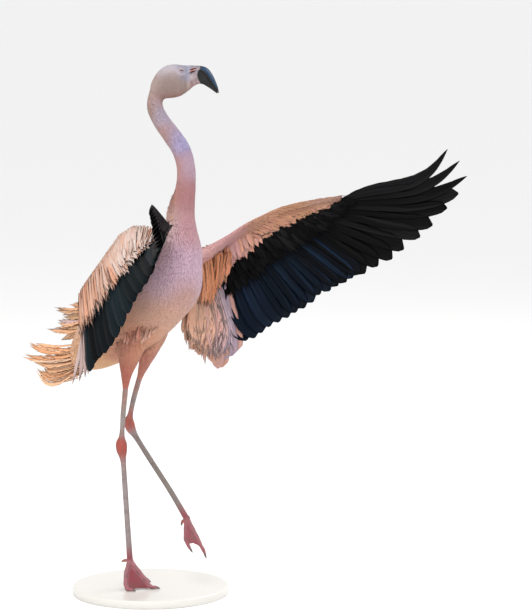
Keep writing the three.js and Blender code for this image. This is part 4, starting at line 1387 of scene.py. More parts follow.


# The blue in the secondaries' colours, in both lists, is a painted sheen of skylight on black feathers.
DARK = {"primaries": ["060607", "080808"], "secondaries": ["070e19", "08111c", "06090f"]}
NEAR = {"primaries": ["080809", "0a0a0b"], "secondaries": ["081013", "0a1216", "070a0c"]}
PALE = {"left": ["c89e8a", "c69886", "c2968e", "b8989c", "ae98a6"], "right": ["b79d98", "bea5a0", "b19691"]}
FOLDED_TERTIALS = {"count": 5, "width": 0.8}
flight = {}
for side, wing in WINGS.items():
    for group, (count, first, last, wide, narrow) in FLIGHT.items():
        rows = []
        folded = group == "tertials" and side == "right"
        for share in np.linspace(0, 1, FOLDED_TERTIALS["count"] if folded else count):
            root, face = wing_spot(side, first + (last - first) * share, 0.88)
            tip = flight_tip(side, group, share)
            tip = tip + unit(tip - root) * MM * draw.uniform(-3, 3)
            hand = group == "primaries"
            width = (wide + (narrow - wide) * share) * MM * (wing["hand width"] if hand else 1)
            loose = 0.1 * max(0, 1 - 3.5 * share) * (side == "left") * (group == "secondaries")
            sweep = wing["sign"] * wing["sickle"] * share**2 if hand else loose + draw.normal(0, 0.008)
            soft = group == "tertials"
            codes = PALE[side] if soft else (DARK if side == "left" else NEAR)[group]
            tilt = (FOLDED_SHINGLE if hand and side == "right" else SHINGLE) * (0.4 if soft else 1)
            width = width * (FOLDED_TERTIALS["width"] if folded else 1)
            rows.append(quill(
                root, tip, face, width * draw.uniform(0.95, 1.05), -wing["sign"] * tilt, 0.02, sweep,
                colour=pick(codes, share if soft else None), blend=1.5 if soft else 0))
        flight[side, group] = rows

pieces = []
for side, ending, inner in (("left", "", "broad"), ("right", " right", "lance")):
    broad, hand, soft = (flight[side, group] for group in ("secondaries", "primaries", "tertials"))
    pieces += [
        grow_quills("secondaries_" + side, "broad" + ending, flight_look, broad, atlas=10),
        grow_quills("primaries_" + side, "primary" + ending, flight_look, hand[:-3], atlas=4),
        grow_quills("fingers_" + side, "finger" + ending, flight_look, hand[-3:], atlas=3),
        grow_quills("tertials_" + side, inner, scapular, soft, atlas=6),
    ]

# %% [markdown]
# Coverts roof the roots of the flight feathers, on both faces of the wing, in rows that overlap from the
# leading edge backwards. On the folded wing they are long and narrow, and streaked with cream and coral, so
# that they run together like silk. Under the spread wing they are short, and the rows over the roots of the
# flight feathers are dark.

# %% Coverts
def flight_line(side, place):
    """Direction and length of the flight feather that roots at a place."""
    for group, (_, first, last, *_) in FLIGHT.items():
        if place > first - 0.06 or group == "tertials":
            break
    share = np.clip((place - first) / (last - first), 0, 1)
    return flight_tip(side, group, share) - wing_spot(side, place, 1)[0]


def covert_row(
    side, over, across, length, width, first, last, count, codes, rise=2, spread=0.35, own=0.5, drift=0,
):
    """One row of coverts, lengths in mm. Own is the share of their own colour; drift turns them outwards."""
    rows = []
    for place in np.linspace(first, last, count):
        place = place + draw.uniform(-0.4, 0.4) * (last - first) / count
        root, face = wing_spot(side, place, across + draw.uniform(-0.03, 0.03), over * 0.85)
        face = face * np.sign(over)
        ahead, rear_point = unit(flight_line(side, place)), wing_spot(side, place, 1)[0]
        reach = length * MM * draw.uniform(0.86, 1.14) * (1 - 0.3 * ramp(5, 6.5, place))
        chord = unit(rear_point - wing_spot(side, place, 0)[0])
        lie = unit(ahead + spread * (1 - across) * (chord - ahead))
        span = unit(wing_spot(side, place + 0.1, across)[0] - wing_spot(side, place, across)[0])
        lie = unit(lie + drift * span + draw.normal(0, 0.03, 3))
        tip = root + lie * reach + face * rise * MM
        tilt = -WINGS[side]["sign"] * np.sign(over) * 3
        rows.append(quill(root - lie * 8 * MM, tip, face, width * MM * draw.uniform(0.85, 1.15), tilt,
                          0.02, draw.normal(0, 0.02), colour=pick(codes), own=own, blend=1.5))
    return rows


SILK = ["cbbdb6", "c2a898", "bd9884", "b67e62", "c6afa4", "b48f80"]
UNDER = ["a5765e", "9c6e54", "ae8068", "a57062"]
ROSE = ["cc9a98", "c68f90", "d0a6a0", "d2a89e"]
quills = []
for across in (0.9, 0.8, 0.7, 0.6, 0.5, 0.4, 0.29, 0.18, 0.07, -0.02):
    quills += covert_row("right", 1, across, 78 - 18 * (1 - across), 12, 1.1, 5.0, 66, SILK, own=0.55)
for across in (0.85, 0.55, 0.25):
    quills += covert_row("right", -1, across, 55, 16, 1.6, 5.0, 30, ROSE)
pieces.append(grow_quills("coverts_right", "lance", scapular, quills))
quills = []
for across, reach in ((0.97, 88), (0.92, 80), (0.6, 74), (0.3, 66)):
    quills += covert_row("right", 1, across, reach, 15, 1.1, 5.0, 58, SILK, rise=4, own=0.5)
pieces.append(grow_quills("silk_right", "fringe", scapular, quills))

quills = []
for across in (0.95, 0.78, 0.6):
    quills += covert_row(
        "left", -1, across, 30, 12, 0.9, 6.3, 96, UNDER, rise=1.5, spread=1.2, own=0.6, drift=1)
pieces.append(grow_quills("underwing_left", "fringe", plumage, quills))
quills = []
for across in (0.9, 0.65, 0.45, 0.28):
    quills += covert_row("left", 1, across, 46, 12, 0.9, 6.3, 64, ROSE, own=0.3)
pieces.append(grow_quills("coverts_left", "lance", scapular, quills))
quills = covert_row("left", -1, 0.98, 74, 17, 2.0, 6.6, 80, DARK["primaries"], rise=2, own=1)
quills += covert_row("left", -1, 0.9, 52, 15, 2.0, 6.6, 80, DARK["primaries"], rise=2, own=1)
pieces.append(grow_quills("underwing_dark", "fringe", flight_look, quills))
quills = covert_row("left", 1, 0.98, 50, 20, 5.1, 6.6, 12, DARK["primaries"], rise=0.5, own=1)
quills += covert_row("right", 1, 0.98, 50, 20, 5.1, 6.6, 12, DARK["primaries"], rise=0.5, own=1)
pieces.append(grow_quills("coverts_dark", "covert", flight_look, quills))

# %% [markdown]
# Loose plumes finish the outline. Some stand in a bunch: a curve of roots and a curve of tips, as in the
# armpit, at the root of the tail and among the tertials. Others gather in locks that sag and turn up at
# the end, with air between them. Each plume is a split vane of five thin strands.

# %% Loose plumes
BUNCHES = {  # roots, tips (mm), the way they face, how many, width, disorder, colours
    "tail root": (
        [[-150, 106, 500], [-166, 118, 476], [-164, 116, 446]],
        [[-193, 140, 500], [-206, 149, 481], [-212, 153, 462], [-206, 150, 443], [-190, 137, 430]],
        (-0.6, -0.5, 0.5), 44, 15, 5, ["e2ac86", "dca078", "e8b894", "daa688"],
    ),
    "armpit plumes": (
        [[104, -4, 712], [122, 14, 726], [146, 40, 722], [168, 66, 718]],
        [[108, 2, 602], [128, 30, 606], [146, 56, 632], [168, 86, 664]],
        (0.5, -0.8, 0.1), 130, 13, 6, ["c98560", "c47d57", "c07852", "bf7a5a"],
    ),
    "tertial fringe": (
        [[74, 10, 600], [96, 34, 590], [118, 60, 585], [140, 80, 580]],
        [[78, 8, 524], [98, 26, 500], [116, 46, 486], [136, 68, 474]],
        (0.2, -0.9, 0.1), 30, 17, 5, ["cfa58f", "c9a08c", "c89b8c", "c69a92", "c09aa0"],
    ),
    "tertial veil": (
        [[100, 16, 664], [112, 34, 668], [126, 60, 668], [142, 92, 670]],
        [[88, 0, 536], [108, 16, 512], [128, 34, 500], [150, 58, 486], [172, 82, 496]],
        (0.2, -0.9, 0.1), 110, 25, 2.5, ["d4a68e", "d0a08a", "c89a90", "be9a9a", "b29ca8"],
    ),
    "thigh ruff": (
        [[-54, -62, 566], [-22, -82, 570], [8, -88, 576]],
        [[-62, -62, 540], [-30, -84, 532], [-4, -92, 540]],
        (0.1, -1, 0.1), 34, 9, 7, ["d09a88", "cc8c7a", "d4a490"],
    ),
}
LOCKS = {  # the way they face, colours, width, then each lock's root, tip, sag and how many
    "tail": ((-0.6, -0.5, 0.5), ["eaaa7c", "f0ba90", "f6ceb0", "f0c29c"], 12, [
        ((-150, 108, 500), (-281, 209, 499), 0.10, 9), ((-152, 110, 494), (-232, 170, 476), 0.08, 7),
        ((-158, 114, 486), (-299, 223, 470), 0.13, 11), ((-160, 115, 476), (-252, 185, 462), 0.14, 8),
        ((-162, 117, 468), (-243, 179, 448), 0.10, 8), ((-162, 117, 456), (-266, 197, 443), 0.24, 9),
        ((-160, 114, 446), (-222, 162, 418), 0.08, 9),
    ]),
    "back plumes": ((-0.4, -0.8, 0.4), ["e0ac86", "e6bc98", "d0b0ac", "e0b48c"], 12, [
        ((-96, 78, 616), (-222, 173, 581), 0.10, 9), ((-108, 86, 600), (-205, 160, 566), 0.06, 7),
        ((-118, 94, 584), (-213, 167, 557), 0.14, 8), ((-128, 100, 566), (-237, 185, 536), 0.12, 10),
        ((-138, 106, 548), (-207, 162, 513), 0.04, 9),
    ]),
    "wisps": ((0.2, -0.9, 0.1), ["cf9c80", "d4a486", "cb9a88"], 11, [
        ((100, 30, 568), (73, 24, 531), 0.25, 5), ((104, 34, 556), (80, 26, 503), 0.2, 5),
        ((110, 38, 545), (92, 30, 495), 0.12, 5),
    ]),
}
plume_look = finish("loose plumes", plumage_recipe(0.07, 0.34), soft=1.1, **FEATHER)
quills = []
for name, (roots, tips, face, count, width, disorder, codes) in BUNCHES.items():
    roots, tips = metres(roots), metres(tips)
    for share in np.linspace(0, 1, count):
        root = along(roots, [share * (len(roots) - 1)])[0] + draw.normal(0, disorder, 3) * MM
        tip = along(tips, [share * (len(tips) - 1)])[0]
        tip = tip - unit(tip - root) * abs(draw.normal(0, 2.5 * disorder)) * MM
        tip = tip + draw.normal(0, 0.6 * disorder, 3) * MM
        facing = unit(np.array(face) + draw.normal(0, 0.2, 3))
        quills.append(quill(
            root, tip, facing, width * MM * draw.uniform(0.7, 1.25), draw.normal(0, 10), 0.05,
            draw.normal(0, 0.05), curl=draw.normal(0, 0.04, 3), colour=pick(codes, share), blend=1))
for face, codes, width, locks in LOCKS.values():
    for root, tip, sag, count in locks:
        root, tip = metres([root, tip])
        for _ in range(round(1.3 * count)):
            start = root + draw.normal(0, 4.5, 3) * MM
            end = start + (tip - start) * (1 - 0.42 * draw.random() ** 1.6) + draw.normal(0, 2.2, 3) * MM
            facing = unit(np.array(face) + draw.normal(0, 0.15, 3))
            quills.append(quill(
                start, end, facing, width * MM * draw.uniform(0.7, 1.2), draw.normal(0, 8), 0.04,
                draw.normal(0, 0.02), sag * draw.uniform(0.8, 1.2), colour=pick(codes), blend=1))
pieces.append(grow_quills("plumes", "fringe", plume_look, quills))

# %% [markdown]
# The bill is a flamingo's signature: bent downwards in the middle, with a thin lid of an upper half over a
# deep trough. Each half is an arch of rings over the plane of the mouth. The upper half has a raised ridge
# and a groove on each side of it, and its nostrils are long slits, pressed into the mesh. A hair of space
# between the halves is the mouth.

# %% The bill
BILL = {
    "ridge": [[87.6, 1135.2], [97.5, 1134.6], [114, 1133.8], [127.5, 1129], [138, 1116], [145.5, 1100],
              [150.5, 1086], [152.3, 1075.5]],
    "mouth": [[87.6, 1118], [97, 1122.3], [111, 1123.2], [121.5, 1116.5], [129, 1105.5],
              [137.3, 1094.4], [145.4, 1084.2], [150.6, 1075.7]],
    "keel": [[87.6, 1081], [98, 1090], [109, 1095], [117.5, 1094.3], [124.5, 1090.5], [132, 1086],
             [140.5, 1080], [147, 1075]],
    "half": [[14.8, 0], [12.5, 0], [11.5, 0], [11.5, 0], [10.5, 0], [8.5, 0], [6, 0], [2.5, 0]],
}
MOUTH_HALF_GAP = 0.35
BILL_RINGS, BILL_ARCH = 190, 60
NOSTRIL = {"middle": (97.2, 1127.2), "half": (8.4, 1.1), "slope": 17, "depth": 2.4}
bill_rows = {name: np.array([[x, HEAD_PLANE, z] for x, z in rows]) for name, rows in BILL.items()}
bill_turns = np.linspace(0, np.pi, BILL_ARCH)


def turned(x, z, middle, slope):
    """How far points lie along and across a line through the middle that slopes by some degrees."""
    turn = math.radians(slope)
    run = (x - middle[0]) * math.cos(turn) + (z - middle[1]) * math.sin(turn)
    return run, (z - middle[1]) * math.cos(turn) - (x - middle[0]) * math.sin(turn)


def bill_section(edge, inside):
    """How tall and how wide each point of the arch is, for every ring, as shares of the ring's own size."""
    tall, wide = np.sin(bill_turns), np.cos(bill_turns)
    if edge == "keel":
        wide = np.sign(wide) * np.abs(wide) ** 0.85
        return [np.tile(part, (BILL_RINGS, 1)) for part in (tall**0.8, wide)]
    groove = np.exp(-(((np.abs(bill_turns - np.pi / 2) - 0.62) / 0.16) ** 2))
    groove = groove[None] * (ramp(0, 0.6, inside) * ramp(6.8, 5.8, inside))[:, None]
    wide = np.sign(wide) * np.abs(wide) ** 0.9 * (1 - 0.08 * groove)
    return tall[None] ** 0.85 * (1 - 0.07 * groove), wide


def bill_rings(edge):
    """Rings in mm, each ring's place and height of the mouth, and each point's share in a nostril."""
    places = np.linspace(-0.25 if edge == "keel" else -0.2, 7, BILL_RINGS)
    inside = np.clip(places, 0, 7)
    first, second = along(bill_rows["mouth"], [0, 1])
    start = np.minimum(places, 0)[:, None] * (second - first)
    mouth, rim = (along(bill_rows[name], inside) + start for name in ("mouth", edge))
    half = along(bill_rows["half"], inside)[:, 0] * (0.97 if edge == "keel" else 1)
    rise = rim - mouth
    height = np.linalg.norm(rise, axis=1, keepdims=True)
    rise = rise / height
    tall, wide = bill_section(edge, inside)
    closing = np.clip((7 - inside) / 0.5, 0, 1) ** 0.5
    gap = MOUTH_HALF_GAP + 0.5 * ramp(-0.2, 0.3, places) * ramp(1.6, 0.9, places)
    gap = gap[:, None]
    reach = np.maximum(height - gap, 0.5)
    rings = mouth[:, None] + rise[:, None] * (gap[..., None] + tall[..., None] * reach[:, None])
    rings[..., 1] += wide * (half * closing)[:, None]
    slit = np.zeros(rings.shape[:2])
    if edge == "ridge":
        run, off = turned(rings[..., 0], rings[..., 2], NOSTRIL["middle"], NOSTRIL["slope"])
        slit = ramp(1.25, 0.6, np.hypot(run / NOSTRIL["half"][0], off / NOSTRIL["half"][1]))
        rings[..., 1] -= np.sign(rings[..., 1] - HEAD_PLANE) * slit * NOSTRIL["depth"]
    return rings, inside, mouth[:, 2], slit


print("bill:", BILL_RINGS, "rings of", BILL_ARCH, "points for each half")

# %% [markdown]
# The tones of the bill are painted in layers, point by point: grey and red-brown for the root, then stripes,
# pale folds at the corner of the mouth, partly their own pale tone and partly painted light on their ridges,
# with painted shade in the creases between them, an orange strip, painted shade along the slit of the mouth
# and in the nostril. Last comes the black horn beyond a border that runs down from the ridge, with a painted
# blue reflection of the sky beside the ridge.

# %% Tones of the bill
BLACK_FROM = [[1088, 116], [1094, 114], [1100, 111], [1104, 108.4], [1111, 106], [1117, 105.8],
              [1123, 107.3], [1127.5, 111.5], [1134, 112.6], [1140, 113]]  # x of the border at each height


def bill_tones(edge, rings, inside, mouth, slit):
    """Each point's colour and its share of black horn."""
    x, z = rings[..., 0].ravel(), rings[..., 2].ravel()
    flank = np.tile(np.abs(bill_turns - np.pi / 2), BILL_RINGS)
    place = np.repeat(inside, BILL_ARCH)

    def spot(middle, slope, half_long, half_wide):
        run, off = turned(x, z, middle, slope)
        return np.exp(-((run / half_long) ** 4) - (off / half_wide) ** 2)

    stripes = 0.5 + 0.5 * np.sin(1.9 * x + 0.5 * np.sin(z * 0.4))
    folds = 0.5 + 0.5 * np.sin((z - 0.12 * (x - 88) ** 2 * 0.2) * 1.9)
    to_mouth = np.abs(z - np.repeat(mouth, BILL_ARCH))
    colour = plain(len(x), "8f8289")
    for share, code in (
        (ramp(1128, 1133, z) * 0.8, "7e7d88"),
        (ramp(1116, 1092, z) * 0.75, "8f6c66"),
        (stripes * ramp(94, 101, x) * ramp(1118, 1108, z) * 0.5, "a8949a"),
        # Pale fold lines, partly the skin's own pale tone and partly painted light on the ridges of the
        # folds, with painted shade in the dark creases between them.
        (folds * spot((92, 1110), 0, 8, 5.5) * 0.8, "cfc6c8"),
        ((1 - folds) ** 3 * spot((93, 1111), 0, 7, 6) * 0.7, "6a4a4c"),
        (folds * spot((97, 1131.5), 10, 8, 1.6) * 0.5, "b4b0ba"),
        (spot((93.5, 1123), 22, 7.5, 1.9) * 0.9, "c8745a"),
        (spot((99, 1129.6), 17, 8, 0.9) * 0.5, "9c5046"),
        # Painted shade along the slit of the mouth.
        (ramp(2.2, 0.8, to_mouth) * ramp(1.5, 1.0, place), "2a1416"),
        # Painted shade in the nostril's slit.
        (slit.ravel(), "2c1414"),
    ):
        colour = paint(colour, share, code)
    horn = plain(len(x), "0b0c0d")
    if edge == "keel":
        horn = paint(horn, ramp(4, 1.5, place) * 0.6, "0e1612")
    else:
        # A painted blue reflection of the sky beside the ridge.
        painted_sky_gloss = ramp(0.02, 0.25, flank) * ramp(1.42, 1.12, flank)
        painted_sky_gloss = painted_sky_gloss * ramp(1.75, 2.5, place) * ramp(6.5, 5.3, place)
        horn = paint(horn, painted_sky_gloss * 0.9, "143a5a")
    black = ramp(-0.9, 0.9, x - np.interp(z, *np.array(BLACK_FROM).T))
    colour = colour + black[:, None] * (horn - colour)
    natural = marking(metres(rings).reshape(-1, 3))
    return colour + ramp(93, 88, x)[:, None] * (natural - colour), black


def bill_half(name, edge):
    rings, *rest = bill_rings(edge)
    shape = tube(name, metres(rings))
    colour, black = bill_tones(edge, rings, *rest)
    set_attribute(shape.data, "marking", np.vstack([colour, colour[:1], colour[-1:]]))
    set_attribute(shape.data, "horn", np.r_[black, 0, 1])
    smooth_shade(shape)
    return shape


upper = bill_half("bill_upper_half", "ridge")
lower = bill_half("bill_lower_half", "keel")
print("bill:", triangles(upper), "+", triangles(lower), "triangles")

# %% [markdown]
# The lining of the mouth is a flat tube between the halves, dark with painted shade for the inside of the
# mouth. It fills the slit from inside, so that no light falls through.

# %% Lining of the mouth
LINING = {"width": 0.72, "half height": 1.5}

inside = np.linspace(0.05, 6.7, 80)
turns = circle(16)
rings = np.repeat(along(bill_rows["mouth"], inside)[:, None], len(turns), axis=1)
rings[..., 1] += np.cos(turns)[None] * (along(bill_rows["half"], inside)[:, 0] * LINING["width"])[:, None]
rings[..., 2] += np.sin(turns)[None] * LINING["half height"]
lining = tube("mouth_lining", metres(rings))
count = len(lining.data.vertices)
# Painted shade: the lining's dark tone stands for the shadow inside the mouth.
set_attribute(lining.data, "marking", plain(count, "2a1416"))
set_attribute(lining.data, "horn", np.zeros(count))
smooth_shade(lining)
lower = join("bill_lower_half", [lower, lining])
print("lower half with the lining:", triangles(lower), "triangles")

# %% [markdown]
# The shader takes the painted tones and adds fine growth lines and pores. Black horn is a little smoother
# than the root.

# %% Finish of the bill
def bill_recipe(tree):
    horn = named(tree, "horn", "Fac")
    along_bill = tree.vector("MULTIPLY", own_place(tree), (140, 300, 60))
    fine = noise(tree, 1.0, 3, at=along_bill)
    colour = tree.mix(fine.ramp(0.42, 0.7) * 0.3, named(tree, "marking", "Color"), rgb("2c2928"))
    pores = noise(tree, 900, 3)
    return {"Base Color": colour, "Roughness": 0.5 - horn * 0.12 + fine * 0.06, "height": fine + pores * 0.4}


bill_look = finish("horn of the bill", bill_recipe, bump=0.16, bump_reach=0.0005, Coat_Weight=0.06,
                   Specular_IOR_Level=0.3)
for half in (upper, lower):
    dress(half, bill_look)
print("bill finished")

# %% [markdown]
# An eye is a ball with a slight bulge over the iris, sunk behind two lids. The lids are one thick ring of
# skin that hugs the ball. The bird looks into bright light, so its eye is half shut: a slit three times as
# wide as high, between lids of the same tone as the face.

# %% Eyes and lids
EYE_SINK = 1.2
LID_SECTION = [(0.98, 0.0), (1.03, 0.0), (1.09, 0.05), (1.12, 0.16), (1.1, 0.4), (1.03, 0.7), (0.9, 0.95),
               (0.84, 0.6), (0.9, 0.1)]  # in radii of the ball, and the angle off the slit's edge
turns = circle(40)


def eye_frame(sign):
    """The middle of an eye, and its own outward, forward and upward directions."""
    outward = HEAD_PLANE + sign * (EYE["outward"] - EYE_SINK)
    centre = metres((EYE["at"][0], outward, EYE["at"][1]))
    axis, ahead = unit(np.array([0.24, sign * 0.93, 0.14])), np.array([1.0, 0, -0.12])
    ahead = unit(ahead - axis * (ahead @ axis))
    above = np.cross(ahead, axis) * -sign
    return centre, axis, ahead, above * np.sign(above[2])


def eye_ball(centre, axis, ahead, above):
    """A ball that bulges over the iris. Each point keeps its angle off the axis."""
    side = np.cos(turns)[:, None] * ahead + np.sin(turns)[:, None] * above
    rings, looks = [], []
    for tilt in np.concatenate([np.linspace(0.04, 0.9, 16), np.linspace(1.0, 3.1, 12)]):
        bulge = 1 + 0.05 * max(0, 1 - (tilt / 0.55) ** 2)
        rings.append(centre + EYE["radius"] * MM * bulge * (math.cos(tilt) * axis + math.sin(tilt) * side))
        looks += [tilt] * len(turns)
    ball = tube("eye_ball", rings)
    set_attribute(ball.data, "off axis", [*looks, 0, 3.1])
    smooth_shade(ball)
    return ball


def eye_lid(centre, axis, ahead, above):
    """A thick ring round the ball, with a slit for its opening."""
    points = []
    for turn in turns:
        opening = 0.62 / math.hypot(math.cos(turn), 3.0 * math.sin(turn))
        side = math.cos(turn) * ahead + math.sin(turn) * above
        for reach, grow in LID_SECTION:
            ray = math.cos(opening + grow) * axis + math.sin(opening + grow) * side
            points.append(centre + EYE["radius"] * MM * reach * ray)
    count, deep = len(turns), len(LID_SECTION)
    faces = [
        (i * deep + j, i * deep + (j + 1) % deep, (i + 1) % count * deep + (j + 1) % deep,
         (i + 1) % count * deep + j)
        for i in range(count) for j in range(deep)
    ]
    lid = make_object("lid", points, faces)
    face_outwards(lid)
    smoother = lid.modifiers.new("round", "SUBSURF")
    smoother.levels = smoother.render_levels = 1
    return apply_modifiers(lid, "lid")


eye_frames = [eye_frame(sign) for sign in (1, -1)]
balls = [eye_ball(*place) for place in eye_frames]
lids = join("eyelids", [eye_lid(*place) for place in eye_frames])
smooth_shade(lids)
print("eyes and lids:", triangles(balls[0]), "and", triangles(lids), "triangles")

# %% [markdown]
# The eye's finish reads the angle off its axis: a black pupil, a yellow-brown iris with fine spokes, a dark
# rim, and the tone of the skin where the ball runs under the lids.

# %% Finish of the eyes
def eye_recipe(tree):
    away = named(tree, "off axis", "Fac")
    spokes = noise(tree, 1500, 2)
    colour = tree.mix(away.ramp(0.2, 0.24), rgb("060606"), tree.mix(spokes, rgb("7c5e2a"), rgb("54391a")))
    colour = tree.mix(away.ramp(0.5, 0.56), colour, rgb("4a2a1c"))
    return {"Base Color": tree.mix(away.ramp(0.6, 0.72), colour, rgb("b9a59c"))}


eye_look = finish("eye", eye_recipe, Roughness=0.12, Coat_Weight=0.4)
lid_look = finish("eyelid", lambda tree: {
    "Base Color": tree.mix(noise(tree, 700) * 0.5, rgb("9c8e9a"), rgb("80707a")),
    "height": noise(tree, 2200, 3),
}, bump=0.4, bump_reach=0.0005, Roughness=0.5)
for ball in balls:
    dress(ball, eye_look)
dress(lids, lid_look)
print("eyes finished")

# %% [markdown]
# Three toes point forwards and a short one backwards. Each is a line of points with a radius, from the joint
# down to the tip. The planted foot is spread flat, and the lifted one hangs loosely.

# %% Sizes of the feet
FEET = {  # rows of x, y, z and radius; web: how far along each front toe it reaches
    "right": {
        "knob": [-43.6, -66, 57.5, 8],
        "inner": [[-41, -64, 55, 6], [-29, -60, 37, 4.4], [-16, -54, 21, 4], [-5, -49, 10, 3.6],
                  [1, -46, 6, 1]],
        "middle": [[-41, -67, 55, 6], [-24, -74, 36, 4.8], [-8, -81, 17, 4.4], [3, -86, 4.4, 4.2],
                   [13, -90, 4, 3.4], [23, -94, 2.4, 0.9]],
        "outer": [[-45, -68, 54, 6], [-51, -82, 35, 4.8], [-52, -97, 13, 4.4], [-48, -107, 4.4, 4.2],
                  [-38, -114, 3.8, 3.2], [-29, -120, 2.2, 0.9]],
        "hind": [[-45.5, -64, 58.5, 4], [-56, -54, 56, 3.2], [-63, -47, 51, 1]],
        "web": [0.7, 0.8, 0.68],
    },
    "left": {
        "knob": [80.5, -74, 153, 8],
        "inner": [[80, -75, 150, 6], [79, -86, 131, 4.6], [79, -98, 112, 4.2], [86, -108, 98, 3.4],
                  [94, -115, 86, 1]],
        "middle": [[82, -76, 150, 6], [93, -90, 130, 4.8], [106, -104, 109, 4.4], [118, -116, 91, 3.6],
                   [124, -122, 74, 1]],
        "outer": [[82, -71, 150, 6], [93, -70, 130, 4.6], [103, -70, 111, 4.2], [110, -71, 97, 3.4],
                  [115, -73, 88, 1]],
        "hind": [[79.5, -72, 151.5, 4], [71, -64, 144, 3.2], [68.5, -62, 135, 1]],
        "web": [0.64, 0.66, 0.64],
    },
}
TOES = ("inner", "middle", "outer", "hind")
print("toes:", ", ".join(TOES))

# %% [markdown]
# Each leg is a long thin limb from inside the thigh to the joint above the toes, with the ankle as a knob
# half way. A web's free edge is drawn in, and its skin sags a little between two toes.

# %% Parts of a leg
def web(toe_a, toe_b, reach_a, reach_b):
    """A thin closed sheet between two toes, its free edge drawn in between them."""
    rows, columns, half = 26, 16, 0.0009
    tops = []
    for column in np.linspace(0, 1, columns):
        drawn = 1 - 0.13 * math.sin(math.pi * column) ** 0.8
        shares = np.linspace(0.04, 1, rows) * drawn
        a = along(toe_a, shares * reach_a * (len(toe_a) - 1))[:, :3]
        b = along(toe_b, shares * reach_b * (len(toe_b) - 1))[:, :3]
        tops.append(a + column * (b - a))
    tops = np.stack(tops, 1)
    normal = unit(np.cross(tops[-1, 0] - tops[0, 0], tops[-1, -1] - tops[-1, 0]))
    sag = 0.0012 * np.sin(np.pi * np.linspace(0, 1, columns))[None, :, None]
    sag = sag * np.sin(np.pi * np.linspace(0, 1, rows))[:, None, None]
    tops = tops + sag * normal
    return tube("web", np.concatenate([tops + half * normal, tops[:, ::-1] - half * normal], 1))


def claw(rows):
    """The horn at the end of a toe, from just before its tip."""
    last = len(rows) - 1
    places = np.linspace(last - 0.62, last, 14)
    line = along(rows, places)
    share = np.linspace(0, 1, 14)
    radii = line[:, 3] * 0.2 + 0.0021 * (1 - share**2.2) + 0.0003
    ahead = heading(rows, places)
    lifted = line[:, :3] + np.array([0, 0, 0.0006]) * (1 - share)[:, None]
    aside = unit(np.cross(ahead[0], [0, 0, 1.0]))
    return tube("claw", round_rings(lifted, ahead, aside, radii, 14, flat=0.8))


def shank(rows):
    """The bare leg. Inside the thigh it is never thicker than 6 mm."""
    places = np.linspace(5.0, 14, 360)
    radii = along(rows, places)[:, 3]
    radii = np.where(places < 6.5, np.minimum(radii, 6.0 * MM), radii)
    return limb("leg", rows, places, radii, 20)


def toe_limb(name, rows):
    """A toe that swells a little at each knuckle."""
    places = np.linspace(0, len(rows) - 1 - 0.15, 60)
    swell = 1 + 0.07 * np.cos(2 * np.pi * places) * (places > 0.4)
    return limb(name, rows, places, along(rows, places)[:, 3] * swell, 16)


def knob(middle):
    """A ball where the leg meets the toes."""
    ball = bmesh.new()
    bmesh.ops.create_icosphere(ball, subdivisions=4, radius=middle[3])
    mesh = bpy.data.meshes.new("knob")
    ball.to_mesh(mesh)
    ball.free()
    set_points(mesh, mesh_points(mesh) + middle[:3])
    return link_object("knob", mesh)


print("parts of a leg: shank, knob, toes, webs and claws")

# %% [markdown]
# The parts of a leg overlap, and a fine voxel remesh melts them, as it did the body. The claws stay apart,
# because they have a finish of their own.

# %% Legs
FOOT_VOXEL = 0.00095
leg_skins, claws = {}, []
for side, foot in FEET.items():
    toes, reach = {name: metres(foot[name]) for name in TOES}, foot["web"]
    parts = [shank(LEGS[side]), *(toe_limb(name, rows) for name, rows in toes.items())]
    parts.append(web(toes["inner"], toes["middle"], reach[0], reach[1]))
    parts.append(web(toes["middle"], toes["outer"], reach[1], reach[2]))
    parts.append(knob(metres(foot["knob"])))
    leg_skins[side] = melt(join("leg " + side, parts), "leg_skin_" + side, FOOT_VOXEL, rounds=3)
    claws += [claw(rows) for rows in toes.values()]
    print("leg", side, triangles(leg_skins[side]), "triangles")
claws = join("claws", claws)
smooth_shade(claws)

# %% [markdown]
# A bird's shank wears broad plates in front, a net of small scales behind, and loose wrinkled skin at the
# joints. The plates are real steps in the mesh, 4 mm apart; the net is a bump in the finish. The legs are
# mauve grey, the ankles and feet coral red, and each point gets its tone from its place along the leg. The
# lower tarsus of the lifted leg is painted darker olive as shade, and the wrinkles at the joints get painted
# light on their crests and painted shade in their creases.

# %% Scales and tones of the legs
JOINTS = {"right": (9.5, 1.45), "left": (9.0, 1.4)}  # middle and half width of the red skin, in places
PLATE = {"length": 0.0042, "groove": 0.00028, "slope": 0.0001}
FOLD_DEPTH = 0.00034


def nearest_to(points, line):
    """The nearest of the line's points for each point, in chunks to save memory."""
    return np.concatenate([
        np.linalg.norm(chunk[:, None] - line[None, :, :3], axis=2).argmin(1)
        for chunk in np.array_split(points, 40)
    ])


def toe_shares(side, points, foot):
    """How far each point belongs to a toe rather than to the web, and to the end of the hind toe."""
    toe, hind = np.zeros(len(points)), np.zeros(len(points))
    in_foot = np.flatnonzero(foot > 0.02)
    for name in TOES:
        rows = metres(FEET[side][name])
        bone = along(rows, np.linspace(0, len(rows) - 1, 50))
        near = nearest_to(points[in_foot], bone)
        gap = np.linalg.norm(points[in_foot] - bone[near, :3], axis=1)
        ratio = gap / np.maximum(bone[near, 3], 0.002)
        on_toe = ramp(1.7, 1.1, ratio)
        toe[in_foot] = np.maximum(toe[in_foot], on_toe)
        if name == "hind":
            hind[in_foot] = on_toe * ramp(8, 22, near)
    return toe, hind


